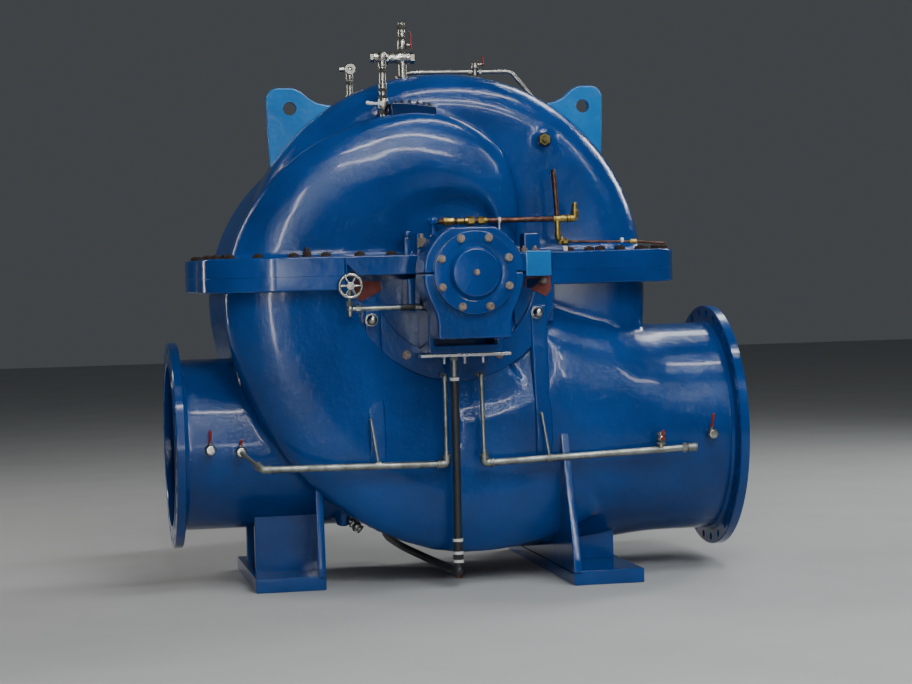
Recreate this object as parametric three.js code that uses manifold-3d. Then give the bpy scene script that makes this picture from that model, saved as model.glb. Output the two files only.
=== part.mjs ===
// A large horizontal split-case pump with double suction, in millimetres, +Z up.
// The shaft runs along Y with its free end bearing at -Y. The suction nozzle points to +X, the discharge
// nozzle to -X, and both feet stand on Z = 0. Shapes are drawn round the shaft centre and moved at the end.
import * as THREE from "three";
import { mergeVertices } from "three/addons/utils/BufferGeometryUtils.js";
import Module from "manifold-3d";

const wasm = await Module();
wasm.setup();

// Driving dimensions of the whole pump
const SHAFT_HEIGHT = 1520;
const DISCHARGE_REACH = 1380;
const SUCTION_REACH = 1440;
const NOZZLE_DROP = 822;
const DRIVE_END = 1250;

// Nozzles and their flanges
const DISCHARGE = {
  bore: 400, wall: 425, neck: 192, flange: 510, thickness: 48, bolts: 24, boltCircle: 475, hole: 18,
  depth: 700, throat: 300,
};
const SUCTION = {
  bore: 500, wall: 533, neck: 300, flange: 617.5, thickness: 50, bolts: 28, boltCircle: 580, hole: 19.5,
  depth: 720, throat: 380,
};

// Casing: a spiral volute between two spiral suction chambers, split at the height of the shaft
const VOLUTE_RADIUS = 987;
const VOLUTE_OFFSET = 60;
const VOLUTE_HALF_WIDTH = 290;
const VOLUTE_ROUND = 190;
const CHAMBER_WALL = 433;
const CHAMBER_FRONT = 560;
const CHAMBER_LOWER_FRONT = 520;
const CHAMBER_CREST = 430;
const PARTING_THICKNESS = 84;
const PARTING_FRONT = 640;
const GAP = 0.3;

// Stuffing boxes, bearings and shaft; places along the shaft are distances from the middle plane
const SHAFT_RADIUS = 70;
const SEAL = { boxRadius: 145, boxEnd: 500, glandRadius: 148, glandEnd: 538, room: 205 };
const BRACKET = { outer: 520, inner: 405, plate: 46, halfWidth: 182, wall: 32, floor: 345, sole: 385 };
const HOUSING = {
  back: 710, front: 960, halfWidth: 238, bottom: 321, bottomHalfWidth: 182, shoulder: 150, top: 215,
};
const COVER = { radius: 196, front: 1000, bossRadius: 119, bossFront: 1028, plugRadius: 15, plugFront: 1042 };

// Feet: a sole plate, a web along the shaft and a cross web under the nozzle
const SOLE_THICKNESS = 70;
const WEB_THICKNESS = 40;
const DISCHARGE_FOOT = {
  left: -1015, right: -672, depth: 480, web: -712, top: -700, topDepth: 480, cross: 215, crossTop: -1060,
};
const SUCTION_FOOT = {
  left: 490, right: 840, depth: 770, web: 490, top: -880, topDepth: 552, cross: 440, crossTop: -1080,
};

const ROUND = 40;
const SMALL_ROUND = 10;

const degrees = Math.PI / 180;

// Closed meshes and solids
function solidOf(geometry) {
  const bare = geometry.index ? geometry.toNonIndexed() : geometry.clone();
  bare.deleteAttribute("normal");
  bare.deleteAttribute("uv");
  const merged = mergeVertices(bare, 1e-3);
  const mesh = new wasm.Mesh({
    numProp: 3,
    vertProperties: new Float32Array(merged.attributes.position.array),
    triVerts: new Uint32Array(merged.index.array),
  });
  mesh.merge();
  return new wasm.Manifold(mesh);
}

function geometryOf(solid) {
  const mesh = solid.getMesh();
  const geometry = new THREE.BufferGeometry();
  geometry.setAttribute("position", new THREE.BufferAttribute(new Float32Array(mesh.vertProperties), 3));
  geometry.setIndex(new THREE.BufferAttribute(new Uint32Array(mesh.triVerts), 1));
  return geometry;
}

function join(solids) {
  return solids.reduce((sum, solid) => sum.add(solid));
}

function cut(solid, tools) {
  return tools.reduce((rest, tool) => rest.subtract(tool), solid);
}

function box(low, high) {
  const size = new THREE.Vector3(high[0] - low[0], high[1] - low[1], high[2] - low[2]);
  const geometry = new THREE.BoxGeometry(size.x, size.y, size.z);
  geometry.translate((low[0] + high[0]) / 2, (low[1] + high[1]) / 2, (low[2] + high[2]) / 2);
  return solidOf(geometry);
}

// A cone or cylinder from one point to another, with its facets' flats at the given radii
function rod(from, to, radius, sides = SMALL_ROUND, endRadius = radius) {
  const start = new THREE.Vector3(...from);
  const end = new THREE.Vector3(...to);
  const along = end.clone().sub(start);
  const geometry = new THREE.CylinderGeometry(endRadius, radius, along.length(), sides);
  const upright = new THREE.Vector3(0, 1, 0);
  geometry.applyQuaternion(new THREE.Quaternion().setFromUnitVectors(upright, along.clone().normalize()));
  const middle = start.add(end).multiplyScalar(0.5);
  geometry.translate(middle.x, middle.y, middle.z);
  return solidOf(geometry);
}

function ball(centre, radius, sides = 8) {
  const geometry = new THREE.SphereGeometry(radius, sides, Math.round(sides / 2) + 1);
  geometry.translate(...centre);
  return solidOf(geometry);
}

// Points along an arc about a centre, from one angle to another in degrees
function arc([x, y], radius, from, to, steps) {
  return Array.from({ length: steps + 1 }, (_, i) => {
    const angle = (from + ((to - from) * i) / steps) * degrees;
    return [x + radius * Math.cos(angle), y + radius * Math.sin(angle)];
  });
}

function circle(centre, radius, steps) {
  return arc(centre, radius, 0, 360, steps).slice(0, -1);
}

// A plate drawn in XY for a thickness along Z, in XZ for one along Y, or in YZ for one along X
const plateAxes = {
  z: new THREE.Matrix4(),
  y: new THREE.Matrix4().set(1, 0, 0, 0, 0, 0, 1, 0, 0, 1, 0, 0, 0, 0, 0, 1),
  x: new THREE.Matrix4().set(0, 0, 1, 0, 1, 0, 0, 0, 0, 1, 0, 0, 0, 0, 0, 1),
};

function plate(outline, from, to, axis, holes = []) {
  const vectors = (points) => points.map(([x, y]) => new THREE.Vector2(x, y));
  const shape = new THREE.Shape(vectors(outline));
  shape.holes = holes.map((points) => new THREE.Path(vectors(points)));
  const geometry = new THREE.ExtrudeGeometry(shape, { depth: to - from, bevelEnabled: false });
  geometry.translate(0, 0, from);
  geometry.applyMatrix4(plateAxes[axis]);
  if (axis === "y") {
    turnInsideOut(geometry);
  }
  return solidOf(geometry);
}

function turnInsideOut(geometry) {
  const positions = geometry.attributes.position;
  const [a, b] = [new THREE.Vector3(), new THREE.Vector3()];
  for (let i = 0; i < positions.count; i += 3) {
    a.fromBufferAttribute(positions, i);
    b.fromBufferAttribute(positions, i + 1);
    positions.setXYZ(i, b.x, b.y, b.z);
    positions.setXYZ(i + 1, a.x, a.y, a.z);
  }
}

// A skin through sections of the same number of points, closed by a cap at each end
function loft(sections, place) {
  const count = sections[0].length;
  const points = [];
  sections.forEach((section, i) => section.forEach((point) => points.push(place(point, i))));
  const faces = [];
  for (let i = 0; i < sections.length - 1; i += 1) {
    for (let j = 0; j < count; j += 1) {
      const k = (j + 1) % count;
      const [a, b, c, d] = [i * count + j, i * count + k, (i + 1) * count + k, (i + 1) * count + j];
      faces.push([a, b, c], [a, c, d]);
    }
  }
  const last = (sections.length - 1) * count;
  const clockwise = THREE.ShapeUtils.isClockWise(sections[0]);
  const turned = ([a, b, c], back) => (back === clockwise ? [a, b, c] : [a, c, b]);
  THREE.ShapeUtils.triangulateShape(sections[0], []).forEach((face) => faces.push(turned(face, true)));
  THREE.ShapeUtils.triangulateShape(sections.at(-1), []).forEach((face) => {
    faces.push(turned(face.map((n) => n + last), false));
  });
  const volume = faces.reduce((sum, [a, b, c]) => {
    return sum + points[a].dot(points[b].clone().cross(points[c]));
  }, 0);
  const triangles = volume > 0 ? faces : faces.map(([a, b, c]) => [a, c, b]);
  const geometry = new THREE.BufferGeometry();
  geometry.setAttribute("position", new THREE.Float32BufferAttribute(points.flatMap((p) => p.toArray()), 3));
  geometry.setIndex(triangles.flat());
  return solidOf(geometry);
}

// A value read off a smooth curve through a few [angle, value] pairs
function curveThrough(pairs) {
  return (angle) => {
    if (angle <= pairs[0][0]) {
      return pairs[0][1];
    }
    const i = pairs.findIndex((pair) => angle < pair[0]);
    if (i < 0) {
      return pairs.at(-1)[1];
    }
    const t = (angle - pairs[i - 1][0]) / (pairs[i][0] - pairs[i - 1][0]);
    const before = pairs[Math.max(i - 2, 0)][1];
    const after = pairs[Math.min(i + 1, pairs.length - 1)][1];
    const [from, to] = [pairs[i - 1][1], pairs[i][1]];
    const c = (to - before) / 2;
    const d = (after - from) / 2;
    return from + c * t + (3 * (to - from) - 2 * c - d) * t * t + (2 * (from - to) + c + d) * t ** 3;
  };
}

function polar(radius, y, angle) {
  return new THREE.Vector3(radius * Math.cos(angle * degrees), y, radius * Math.sin(angle * degrees));
}

// Volute: nearly round over the top, opening towards the discharge below the shaft
const voluteThroat = NOZZLE_DROP + DISCHARGE.wall;
function voluteRadius(angle) {
  if (angle >= 0) {
    const lift = VOLUTE_OFFSET * Math.cos(angle * degrees);
    return lift + Math.sqrt(VOLUTE_RADIUS ** 2 - (VOLUTE_OFFSET * Math.sin(angle * degrees)) ** 2);
  }
  const start = VOLUTE_RADIUS + VOLUTE_OFFSET;
  return start + (voluteThroat - start) * (-angle / 90);
}

function roundedSection(inner, outer, halfWidth, round, steps) {
  const centre = [outer - round, halfWidth - round];
  const far = arc(centre, round, 0, 90, steps);
  const near = arc([centre[0], -centre[1]], round, -90, 0, steps);
  const outline = [[inner, -halfWidth], ...near, ...far, [inner, halfWidth]];
  return outline.map(([x, y]) => new THREE.Vector2(x, y));
}

function volute() {
  const angles = Array.from({ length: 26 }, (_, i) => -90 + i * 12);
  const sections = angles.map((angle) => {
    return roundedSection(SHAFT_RADIUS, voluteRadius(angle), VOLUTE_HALF_WIDTH, VOLUTE_ROUND, 4);
  });
  return loft(sections, (point, i) => polar(point.x, point.y, angles[i]));
}

// Suction chamber: a spiral whose radius grows from its end beside the shaft to the nozzle below
const chamberRadius = curveThrough([
  [0, 340], [28, 390], [52, 548], [65, 664], [95, 796], [120, 858], [142, 935], [163, 1030], [184, 1119],
  [205, 1165], [228, 1232], [250, 1310], [268, 1372], [300, 1400],
]);
const chamberFront = curveThrough([
  [0, 455], [30, 470], [60, 490], [120, 520], [170, CHAMBER_FRONT], [200, CHAMBER_FRONT],
  [240, 540], [270, CHAMBER_LOWER_FRONT], [300, CHAMBER_LOWER_FRONT],
]);

function chamberSection(radius, front) {
  const crest = CHAMBER_CREST * (0.55 + 0.45 * Math.min(1, radius / 1100));
  const round = Math.min(300, radius * 0.38);
  const foot = Math.min(BRACKET.outer, radius * 0.54);
  const section = [new THREE.Vector2(SHAFT_RADIUS, 0), new THREE.Vector2(radius - 70, 0)];
  const steps = 6;
  for (let i = 0; i <= steps; i += 1) {
    const turn = (i / steps) * 90 * degrees;
    const reach = radius - round + round * Math.cos(turn) ** 0.9;
    section.push(new THREE.Vector2(reach, -crest - (front - crest) * Math.sin(turn) ** 0.9));
  }
  section.push(new THREE.Vector2((foot + radius - round) / 2, -front + 12));
  section.push(new THREE.Vector2(foot, -CHAMBER_WALL));
  section.push(new THREE.Vector2(SHAFT_RADIUS, -CHAMBER_WALL));
  return section;
}

function chamber(side) {
  const angles = Array.from({ length: 26 }, (_, i) => i * 12);
  const sections = angles.map((angle) => chamberSection(chamberRadius(angle), chamberFront(angle)));
  return loft(sections, (point, i) => polar(point.x, -side * point.y, angles[i]));
}

// Nozzle passages: round at the flange, widening into the casing
function ovalSection(halfWidth, halfHeight, power, sides) {
  return Array.from({ length: sides }, (_, i) => {
    const turn = (i / sides) * 2 * Math.PI;
    const [c, s] = [Math.cos(turn), Math.sin(turn)];
    const x = Math.sign(c) * Math.abs(c) ** (2 / power) * halfWidth;
    return new THREE.Vector2(x, Math.sign(s) * Math.abs(s) ** (2 / power) * halfHeight);
  });
}

function passage(stations) {
  const sections = stations.map(({ halfWidth, top, bottom, power }) => {
    return ovalSection(halfWidth, (top - bottom) / 2, power, ROUND);
  });
  return loft(sections, (point, i) => {
    const { x, top, bottom } = stations[i];
    return new THREE.Vector3(x, point.x, (top + bottom) / 2 + point.y);
  });
}

function roundStation(x, radius) {
  return { x, halfWidth: radius, top: -NOZZLE_DROP + radius, bottom: -NOZZLE_DROP - radius, power: 2 };
}

function suctionPassage() {
  return passage([
    roundStation(SUCTION_REACH - SUCTION.thickness - SUCTION.neck - 2 * GAP, SUCTION.wall),
    { x: 950, halfWidth: 536, top: -258, bottom: -1364, power: 2.1 },
    { x: 800, halfWidth: 540, top: -190, bottom: -1380, power: 2.3 },
    { x: 650, halfWidth: 540, top: -105, bottom: -1392, power: 2.5 },
    { x: 500, halfWidth: 535, top: -20, bottom: -1398, power: 2.7 },
    { x: 300, halfWidth: 525, top: 0, bottom: -1398, power: 2.8 },
    { x: 0, halfWidth: CHAMBER_LOWER_FRONT, top: -60, bottom: -1374, power: 2.8 },
  ]);
}

function dischargePassage() {
  return passage([
    roundStation(-DISCHARGE_REACH + DISCHARGE.thickness + DISCHARGE.neck + 2 * GAP, DISCHARGE.wall),
    roundStation(-820, DISCHARGE.wall),
    { x: -500, halfWidth: 400, top: -390, bottom: -1248, power: 2.1 },
    { x: -200, halfWidth: 350, top: -380, bottom: -1250, power: 2.3 },
    { x: 0, halfWidth: VOLUTE_HALF_WIDTH, top: -380, bottom: -voluteThroat, power: 2.4 },
  ]);
}

// Parting flanges: the plan of the casing with a land for its bolts
function partingOutline(notched) {
  const suctionSide = [[1175, 0], [1165, -250], [1120, -350], [1030, -418]];
  const bridged = [
    [500, -430], [470, 90 - PARTING_FRONT], [440, 60 - PARTING_FRONT], [-550, 60 - PARTING_FRONT],
  ];
  const cutBack = [[480, -430], [480, 30 - CHAMBER_WALL], [-566, 30 - CHAMBER_WALL]];
  const dischargeSide = [
    [-566, -PARTING_FRONT], [-1030, -PARTING_FRONT], [-1150, -600], [-1218, -520], [-1236, -420],
    [-1225, -300], [-1170, -190], [-1110, -110], [-1090, 0],
  ];
  const front = [...suctionSide, ...(notched ? cutBack : bridged), ...dischargeSide];
  const rear = front.slice(1, -1).reverse().map(([x, y]) => [x, -y]);
  return [...front, ...rear];
}

const partingLower = plate(partingOutline(true), -PARTING_THICKNESS, 0, "z");
const partingUpper = plate(partingOutline(false), 0, PARTING_THICKNESS, "z");

// Lifting lugs stand on the rim of the volute, in its middle plane
const LUG_HOLE = { x: 757, z: 838, radius: 34 };
const LUG_OFFSET = 23;
const LUG_RADIUS = 113;
const LUG_HALF_THICKNESS = 32;

function lug(side) {
  const centre = LUG_OFFSET + side * LUG_HOLE.x;
  const top = side > 0 ? [148, 0] : [32, 180];
  const outline = [
    [centre - side * 330, LUG_HOLE.z - 190], [centre - side * 190, LUG_HOLE.z - 30],
    [centre - side * 135, LUG_HOLE.z + 15], ...arc([centre, LUG_HOLE.z], LUG_RADIUS, ...top, 10),
    [centre + side * LUG_RADIUS, LUG_HOLE.z - 400], [centre - side * 200, LUG_HOLE.z - 400],
  ];
  const hole = circle([centre, LUG_HOLE.z], LUG_HOLE.radius, 16);
  return plate(outline, -LUG_HALF_THICKNESS, LUG_HALF_THICKNESS, "y", [hole]);
}

const FAR = 3000;
const below = box([-FAR, -FAR, -FAR], [FAR, FAR, -GAP / 2]);
const above = box([-FAR, -FAR, GAP / 2], [FAR, FAR, FAR]);
const shaftWay = rod([0, -FAR, 0], [0, FAR, 0], SHAFT_RADIUS + GAP, ROUND);

// Room in front of the casing's end walls: wide below the shaft for the bearing bracket, and less above it
function endRoom(radius, from) {
  return [-1, 1].map((side) => rod([0, side * from, 0], [0, side * FAR, 0], radius, ROUND));
}

function stuffingBox(side) {
  const [start, end] = [side * (CHAMBER_WALL + GAP), side * SEAL.boxEnd];
  return cut(rod([0, start, 0], [0, end, 0], SEAL.boxRadius, 24), [shaftWay]);
}

const RIB = { x: 412, halfWidth: 42, top: -340, bottom: -985, topFace: 486, face: 556, foot: 510 };
function wallRib(side, x) {
  const { top, bottom, topFace, face, foot: footFace } = RIB;
  const outline = [[0, top], [topFace, top], [face, bottom + 185], [footFace, bottom], [0, bottom]];
  const turned = outline.map(([y, z]) => [side * y, z]);
  return plate(turned, x - RIB.halfWidth, x + RIB.halfWidth, "x");
}

// Round bosses: for the plug on the volute, the vents on top and the drain below
const PLUG = { x: 500, z: 650, face: VOLUTE_HALF_WIDTH + 22 };
const CASING_DRAIN = { x: -550, y: -235, z: -1180 };

const body = join([volute(), chamber(-1), chamber(1)]);
const lowerBody = join([body, suctionPassage(), dischargePassage()]);

// The waterway inside a nozzle, straight at first and then narrowing towards its throat
function waterway({ bore, depth, throat }, face) {
  const inward = -Math.sign(face);
  const stations = [[-50, bore], [depth / 2, bore], [0.75 * depth, 0.93 * bore], [depth, throat]];
  const lengths = stations.slice(1).map(([end, radius], i) => {
    const [start, startRadius] = stations[i];
    const [from, to] = [start, end].map((along) => [face + inward * along, 0, -NOZZLE_DROP]);
    return rod(from, to, startRadius, ROUND, radius);
  });
  return join(lengths);
}

function lowerCasing() {
  const ways = [waterway(DISCHARGE, -DISCHARGE_REACH), waterway(SUCTION, SUCTION_REACH)];
  const ribs = [-1, 1].flatMap((side) => [wallRib(side, -RIB.x), wallRib(side, RIB.x)]);
  const open = cut(join([lowerBody, ...ribs]), endRoom(BRACKET.outer + 8, CHAMBER_WALL));
  const drainBoss = rod([CASING_DRAIN.x, CASING_DRAIN.y, CASING_DRAIN.z + 80],
    [CASING_DRAIN.x, CASING_DRAIN.y, CASING_DRAIN.z - 62], 36);
  return cut(join([open, drainBoss]).intersect(below), [shaftWay, ...ways]);
}

function upperCasing() {
  const open = cut(body, endRoom(HOUSING.halfWidth + 62, CHAMBER_WALL));
  const plugBoss = rod([PLUG.x, -VOLUTE_HALF_WIDTH + 40, PLUG.z], [PLUG.x, -PLUG.face, PLUG.z], 30);
  return cut(join([open, lug(-1), lug(1), plugBoss]).intersect(above), [shaftWay]);
}

// The lower flange has one length on each side of the brackets
function lowerFlanges(casing) {
  const room = [...endRoom(BRACKET.outer + 8, CHAMBER_WALL), shaftWay, ...withRoom(casing)];
  const pieces = cut(partingLower.intersect(below), room).decompose();
  const byPlace = (one, other) => one.boundingBox().max[0] - other.boundingBox().max[0];
  return pieces.sort((one, other) => other.volume() - one.volume()).slice(0, 2).sort(byPlace);
}

// The upper flange bridges the brackets, with its lower corners cut off over the ends of the lower flange
const CORNERS = [[[-545, -1], [-482, -1], [-545, 57]], [[475, -1], [475, 47], [427, -1]]];

function bridgeCorners() {
  return [-1, 1].flatMap((side) => {
    return CORNERS.map((corner) => alongShaft(side, corner, CHAMBER_WALL + 8, PARTING_FRONT));
  });
}

function upperFlange(casing) {
  const squareBoss = box([340, -500, PARTING_THICKNESS - 20], [423, -400, 224]);
  const boxRoom = rod([0, -FAR, 0], [0, FAR, 0], SEAL.boxRadius + GAP, 24);
  const room = [boxRoom, ...endRoom(SEAL.room, SEAL.boxEnd - 40), ...bridgeCorners()];
  const plan = cut(partingUpper.intersect(above), room);
  return largest(cut(join([plan, squareBoss]), withRoom(casing)));
}

// Nozzle flanges: flat rings with a circle of bolt holes
const NOZZLE_CENTRE = [0, -NOZZLE_DROP];

function nozzleRing(radius, from, to, holes) {
  return plate(circle(NOZZLE_CENTRE, radius, ROUND), Math.min(from, to), Math.max(from, to), "x", holes);
}

function nozzleFlange({ bore, flange, thickness, bolts, boltCircle, hole }, face, side) {
  const holes = Array.from({ length: bolts }, (_, i) => {
    const angle = ((i + 0.5) / bolts) * 2 * Math.PI;
    return circle([boltCircle * Math.cos(angle), boltCircle * Math.sin(angle) - NOZZLE_DROP], hole, 6);
  });
  return nozzleRing(flange, face, face - side * thickness, [circle(NOZZLE_CENTRE, bore, ROUND), ...holes]);
}

// The straight neck behind a nozzle flange
function nozzleNeck({ bore, wall, thickness, neck }, face, side) {
  const near = face - side * (thickness + GAP);
  return nozzleRing(wall, near, near - side * neck, [circle(NOZZLE_CENTRE, bore, ROUND)]);
}

// Copies of a solid, one slightly larger about the shaft centre and others moved a little: cut with all of
// them, a neighbour that rests on the solid keeps a small gap
function withRoom(solid, factor = 1.0008) {
  const larger = geometryOf(solid).scale(factor, factor, factor);
  const step = 2 * GAP;
  const shifts = [[0, 0, -GAP], [step, 0, 0], [-step, 0, 0], [0, step, 0], [0, -step, 0]];
  const moved = shifts.map((shift) => geometryOf(solid).translate(...shift));
  return [larger, ...moved].map(solidOf);
}

function largest(solid) {
  return solid.decompose().reduce((best, piece) => (piece.volume() > best.volume() ? piece : best));
}

// A piece that runs into another one, cut back to stand on it with a small gap along one way
function seated(solid, on, way) {
  const step = new THREE.Vector3(...way).setLength(1.2 * GAP);
  return largest(solid.subtract(solidOf(geometryOf(on).translate(...step))));
}

function foot({ left, right, depth, web, top, topDepth, cross, crossTop }, casing) {
  const ground = -SHAFT_HEIGHT;
  const soleTop = ground + SOLE_THICKNESS;
  const sole = box([left, -depth, ground], [right, depth, soleTop]);
  const outline = [
    [-depth, soleTop - 10], [depth, soleTop - 10], [depth, soleTop + 60],
    [topDepth, top], [-topDepth, top], [-depth, soleTop + 60],
  ];
  const long = plate(outline, web, web + WEB_THICKNESS, "x");
  const crosses = [-1, 1].map((side) => {
    const y = side * cross;
    const half = WEB_THICKNESS / 2;
    return box([left + 25, y - half, soleTop - 10], [right - 25, y + half, crossTop]);
  });
  return largest(cut(join([sole, long, ...crosses]), casing));
}

// Bearing bracket: a half ring on the casing's end wall, an open trough and the housing's lower half.
// The ring's two ends are cut off along a slope, and leave a pocket under the upper flange
const RING_CORNER = [[300, -41], [560, -206], [560, 50], [300, 50]];

function alongShaft(side, outline, from, to, holes = []) {
  const [low, high] = side > 0 ? [from, to] : [-to, -from];
  return plate(outline, low, high, "y", holes);
}

function bracket(side) {
  const start = CHAMBER_WALL + GAP;
  const { outer, inner, plate: thickness, halfWidth, wall, floor, sole } = BRACKET;
  const halfRing = [...arc([0, 0], outer, 180, 360, 24), ...arc([0, 0], inner, 360, 180, 18)];
  const trough = [
    [-halfWidth, -60], [-halfWidth, -sole], [halfWidth, -sole], [halfWidth, -60],
    [halfWidth - wall, -60], [halfWidth - wall, -floor], [wall - halfWidth, -floor], [wall - halfWidth, -60],
  ];
  const lowerEdge = [
    [-halfWidth, -sole], [-halfWidth, -inner - 40], [halfWidth, -inner - 40], [halfWidth, -sole],
  ];
  const lowerHousing = [
    [-HOUSING.halfWidth, 0], [-HOUSING.halfWidth, -HOUSING.shoulder],
    [-HOUSING.bottomHalfWidth, -HOUSING.bottom], [HOUSING.bottomHalfWidth, -HOUSING.bottom],
    [HOUSING.halfWidth, -HOUSING.shoulder], [HOUSING.halfWidth, 0],
  ];
  const y = side * HOSE.y;
  const solids = [
    alongShaft(side, halfRing, start, start + thickness),
    alongShaft(side, trough, start, HOUSING.back + 10),
    alongShaft(side, lowerEdge, start, start + thickness),
    alongShaft(side, lowerHousing, HOUSING.back, HOUSING.front),
    rod([HOSE.x, y, 5 - sole], [HOSE.x, y, HOSE.top + GAP], HOSE.radius - 4, 8),
  ];
  const corners = [-1, 1].map((hand) => {
    const corner = RING_CORNER.map(([x, z]) => [hand * x, z]);
    return alongShaft(side, corner, start - 1, start + thickness + 1);
  });
  return cut(join(solids).intersect(below), [shaftWay, ...corners]);
}

function bearingCap(side) {
  const { halfWidth } = HOUSING;
  const outline = [[halfWidth, 0], ...arc([0, 0], halfWidth, 12, 168, 16), [-halfWidth, 0]];
  const crown = alongShaft(side, outline, HOUSING.back, HOUSING.front);
  const lid = box([-FAR, -FAR, -1], [FAR, FAR, HOUSING.top]);
  return cut(crown.intersect(lid).intersect(above), [shaftWay]);
}

function endCover(side, open) {
  const start = HOUSING.front + GAP;
  const disc = rod([0, side * start, 0], [0, side * COVER.front, 0], COVER.radius, 32);
  const [bossStart, bossEnd] = [[0, side * (COVER.front - 5), 0], [0, side * COVER.bossFront, 0]];
  const boss = rod(bossStart, bossEnd, COVER.bossRadius + 8, 24, COVER.bossRadius - 8);
  if (open) {
    return cut(join([disc, boss]), [shaftWay]);
  }
  const plug = rod([0, side * (COVER.bossFront - 5), 0], [0, side * COVER.plugFront, 0], COVER.plugRadius, 6);
  return join([disc, boss, plug]);
}

function gland(side) {
  const start = SEAL.boxEnd + GAP;
  const follower = rod([0, side * start, 0], [0, side * SEAL.glandEnd, 0], SEAL.glandRadius, 24);
  const ears = alongShaft(side, [[-190, -34], [190, -34], [190, 34], [-190, 34]], start, SEAL.glandEnd - 8);
  return cut(join([follower, ears]), [shaftWay]);
}

function shaft() {
  const inner = rod([0, -HOUSING.front + 20, 0], [0, COVER.bossFront + 40, 0], SHAFT_RADIUS, ROUND);
  const stub = rod([0, COVER.bossFront + 30, 0], [0, DRIVE_END, 0], SHAFT_RADIUS - 6, ROUND);
  return join([inner, stub]);
}

function dripTray(side) {
  const [near, far] = side > 0 ? [632, 718] : [-718, -632];
  const tray = box([-220, near, -BRACKET.sole - 16], [220, far, -BRACKET.sole - GAP]);
  const pins = [-130, -30, 60].map((x) => {
    const y = side * 690;
    return rod([x, y, -BRACKET.sole - 50], [x, y, -BRACKET.sole - 14], 8, 8);
  });
  return join([tray, ...pins]);
}

// Threaded pipework: straight lengths, with a fitting over each corner and end
function pipeRun(points, radius, fittings = [], sides = 6) {
  const lengths = points.slice(1).map((point, i) => rod(points[i], point, radius, sides));
  const corners = points.slice(1, -1).map((point) => ball(point, radius * 1.45, 6));
  return join([...lengths, ...corners, ...fittings]);
}

// A short thicker sleeve on a pipe, such as a socket, union or clip
function sleeve(centre, direction, length, radius, sides = 6) {
  const middle = new THREE.Vector3(...centre);
  const half = new THREE.Vector3(...direction).normalize().multiplyScalar(length / 2);
  return rod(middle.clone().sub(half).toArray(), middle.clone().add(half).toArray(), radius, sides);
}

const DISCHARGE_DRAIN = { x: -1066, z: -814 };
const DRAIN = { y: 600, radius: 17, riser: 10, drop: -921, top: -496 };

// A rod from a rib's front down to a clip on the pipe
const HANGER = { top: -695, root: 541.5, hook: 566, radius: 7, slant: 27 };

function hanger(side, x, pipeZ) {
  const hook = [x - HANGER.slant, side * HANGER.hook, HANGER.top];
  const clip = [x, side * DRAIN.y, pipeZ];
  return [
    rod([x - HANGER.slant, side * HANGER.root, HANGER.top], hook, HANGER.radius, 6),
    ball(hook, HANGER.radius + 1, 6),
    rod(hook, clip, HANGER.radius, 6),
    sleeve(clip, [1, 0, 0], 22, DRAIN.radius + 5),
  ];
}

// Leakage runs from the bracket's ring forward, down a thin riser and away through the wide pipe
function drainRiser(side, topX, bottomX, bottom) {
  const y = side * DRAIN.y;
  const ringFace = side * (CHAMBER_WALL + BRACKET.plate + 2 * GAP);
  const points = [[topX, ringFace, DRAIN.top], [topX, y, DRAIN.top], [bottomX, y, bottom]];
  const socket = sleeve([bottomX, y, DRAIN.drop + 42], [0, 0, 1], 34, DRAIN.riser + 5);
  return pipeRun(points, DRAIN.riser, [socket]);
}

function dischargeSideDrain(side) {
  const [start, end] = [[-88, side * DRAIN.y, DRAIN.drop], [-960, side * DRAIN.y, DRAIN.drop + 17]];
  const run = pipeRun([start, end], DRAIN.radius, [
    ball(start, DRAIN.radius * 1.45), ball(end, DRAIN.radius * 1.5),
  ]);
  const link = rod(end, [DISCHARGE_DRAIN.x, side * 499.7, DISCHARGE_DRAIN.z - 2], 9, 8);
  const riser = drainRiser(side, start[0], start[0], DRAIN.drop);
  return join([riser, run, link, ...hanger(side, -RIB.x - 8, DRAIN.drop + 6)]);
}

function suctionSideDrain(side) {
  const [start, end] = [[98, side * DRAIN.y, DRAIN.drop - 3], [1142, side * DRAIN.y, -888]];
  const run = pipeRun([start, end], DRAIN.radius, [
    ball(start, DRAIN.radius * 1.45), sleeve(end, [1, 0, 0.03], 46, DRAIN.radius + 5),
  ]);
  return join([drainRiser(side, 92, start[0], start[2]), run, ...hanger(side, RIB.x + 11, DRAIN.drop + 7)]);
}

// Hoses
class Route extends THREE.CatmullRomCurve3 {
  constructor(points) {
    super(points.map((p) => new THREE.Vector3(...p)), false, "centripetal");
  }
}

function hose(points, radius, steps) {
  const section = new THREE.Shape(circle([0, 0], radius, 8).map((p) => new THREE.Vector2(...p)));
  const settings = { steps, bevelEnabled: false, extrudePath: new Route(points) };
  return solidOf(new THREE.ExtrudeGeometry(section, settings));
}

const HOSE = { x: -42, y: 612, radius: 16, top: -BRACKET.sole - 60, bottom: -1300 };

function frontHose() {
  const { x, y, top, bottom, radius } = HOSE;
  return hose([[x, -y, top], [x, -y - 2, -900], [x - 3, -y, bottom]], radius, 6);
}

function rearHose() {
  return hose([
    [HOSE.x - 9, 47 - HOSE.y, -1445], [-90, -400, -1432], [-140, 0, -1424], [-185, 380, -1410],
    [-215, 590, -1370], [-215, 660, -1230], [-150, 655, -900], [-62, 645, -600],
    [HOSE.x, HOSE.y + 1, HOSE.top - 40], [HOSE.x, HOSE.y, HOSE.top],
  ], HOSE.radius, 24);
}

function drainTee() {
  const x = HOSE.x - 3;
  const y = -HOSE.y;
  return join([
    rod([x, y, HOSE.bottom - GAP], [x, y, -1440], 21, 8),
    rod([x, y, -1340], [x, y, -1356], 27, 8),
    rod([x, y, -1372], [x, y, -1386], 27, 8),
    ball([x, y, -1446], 27),
    rod([x, y, -1446], [x - 6, y + 45, -1445], 13, 8),
  ]);
}

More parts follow.
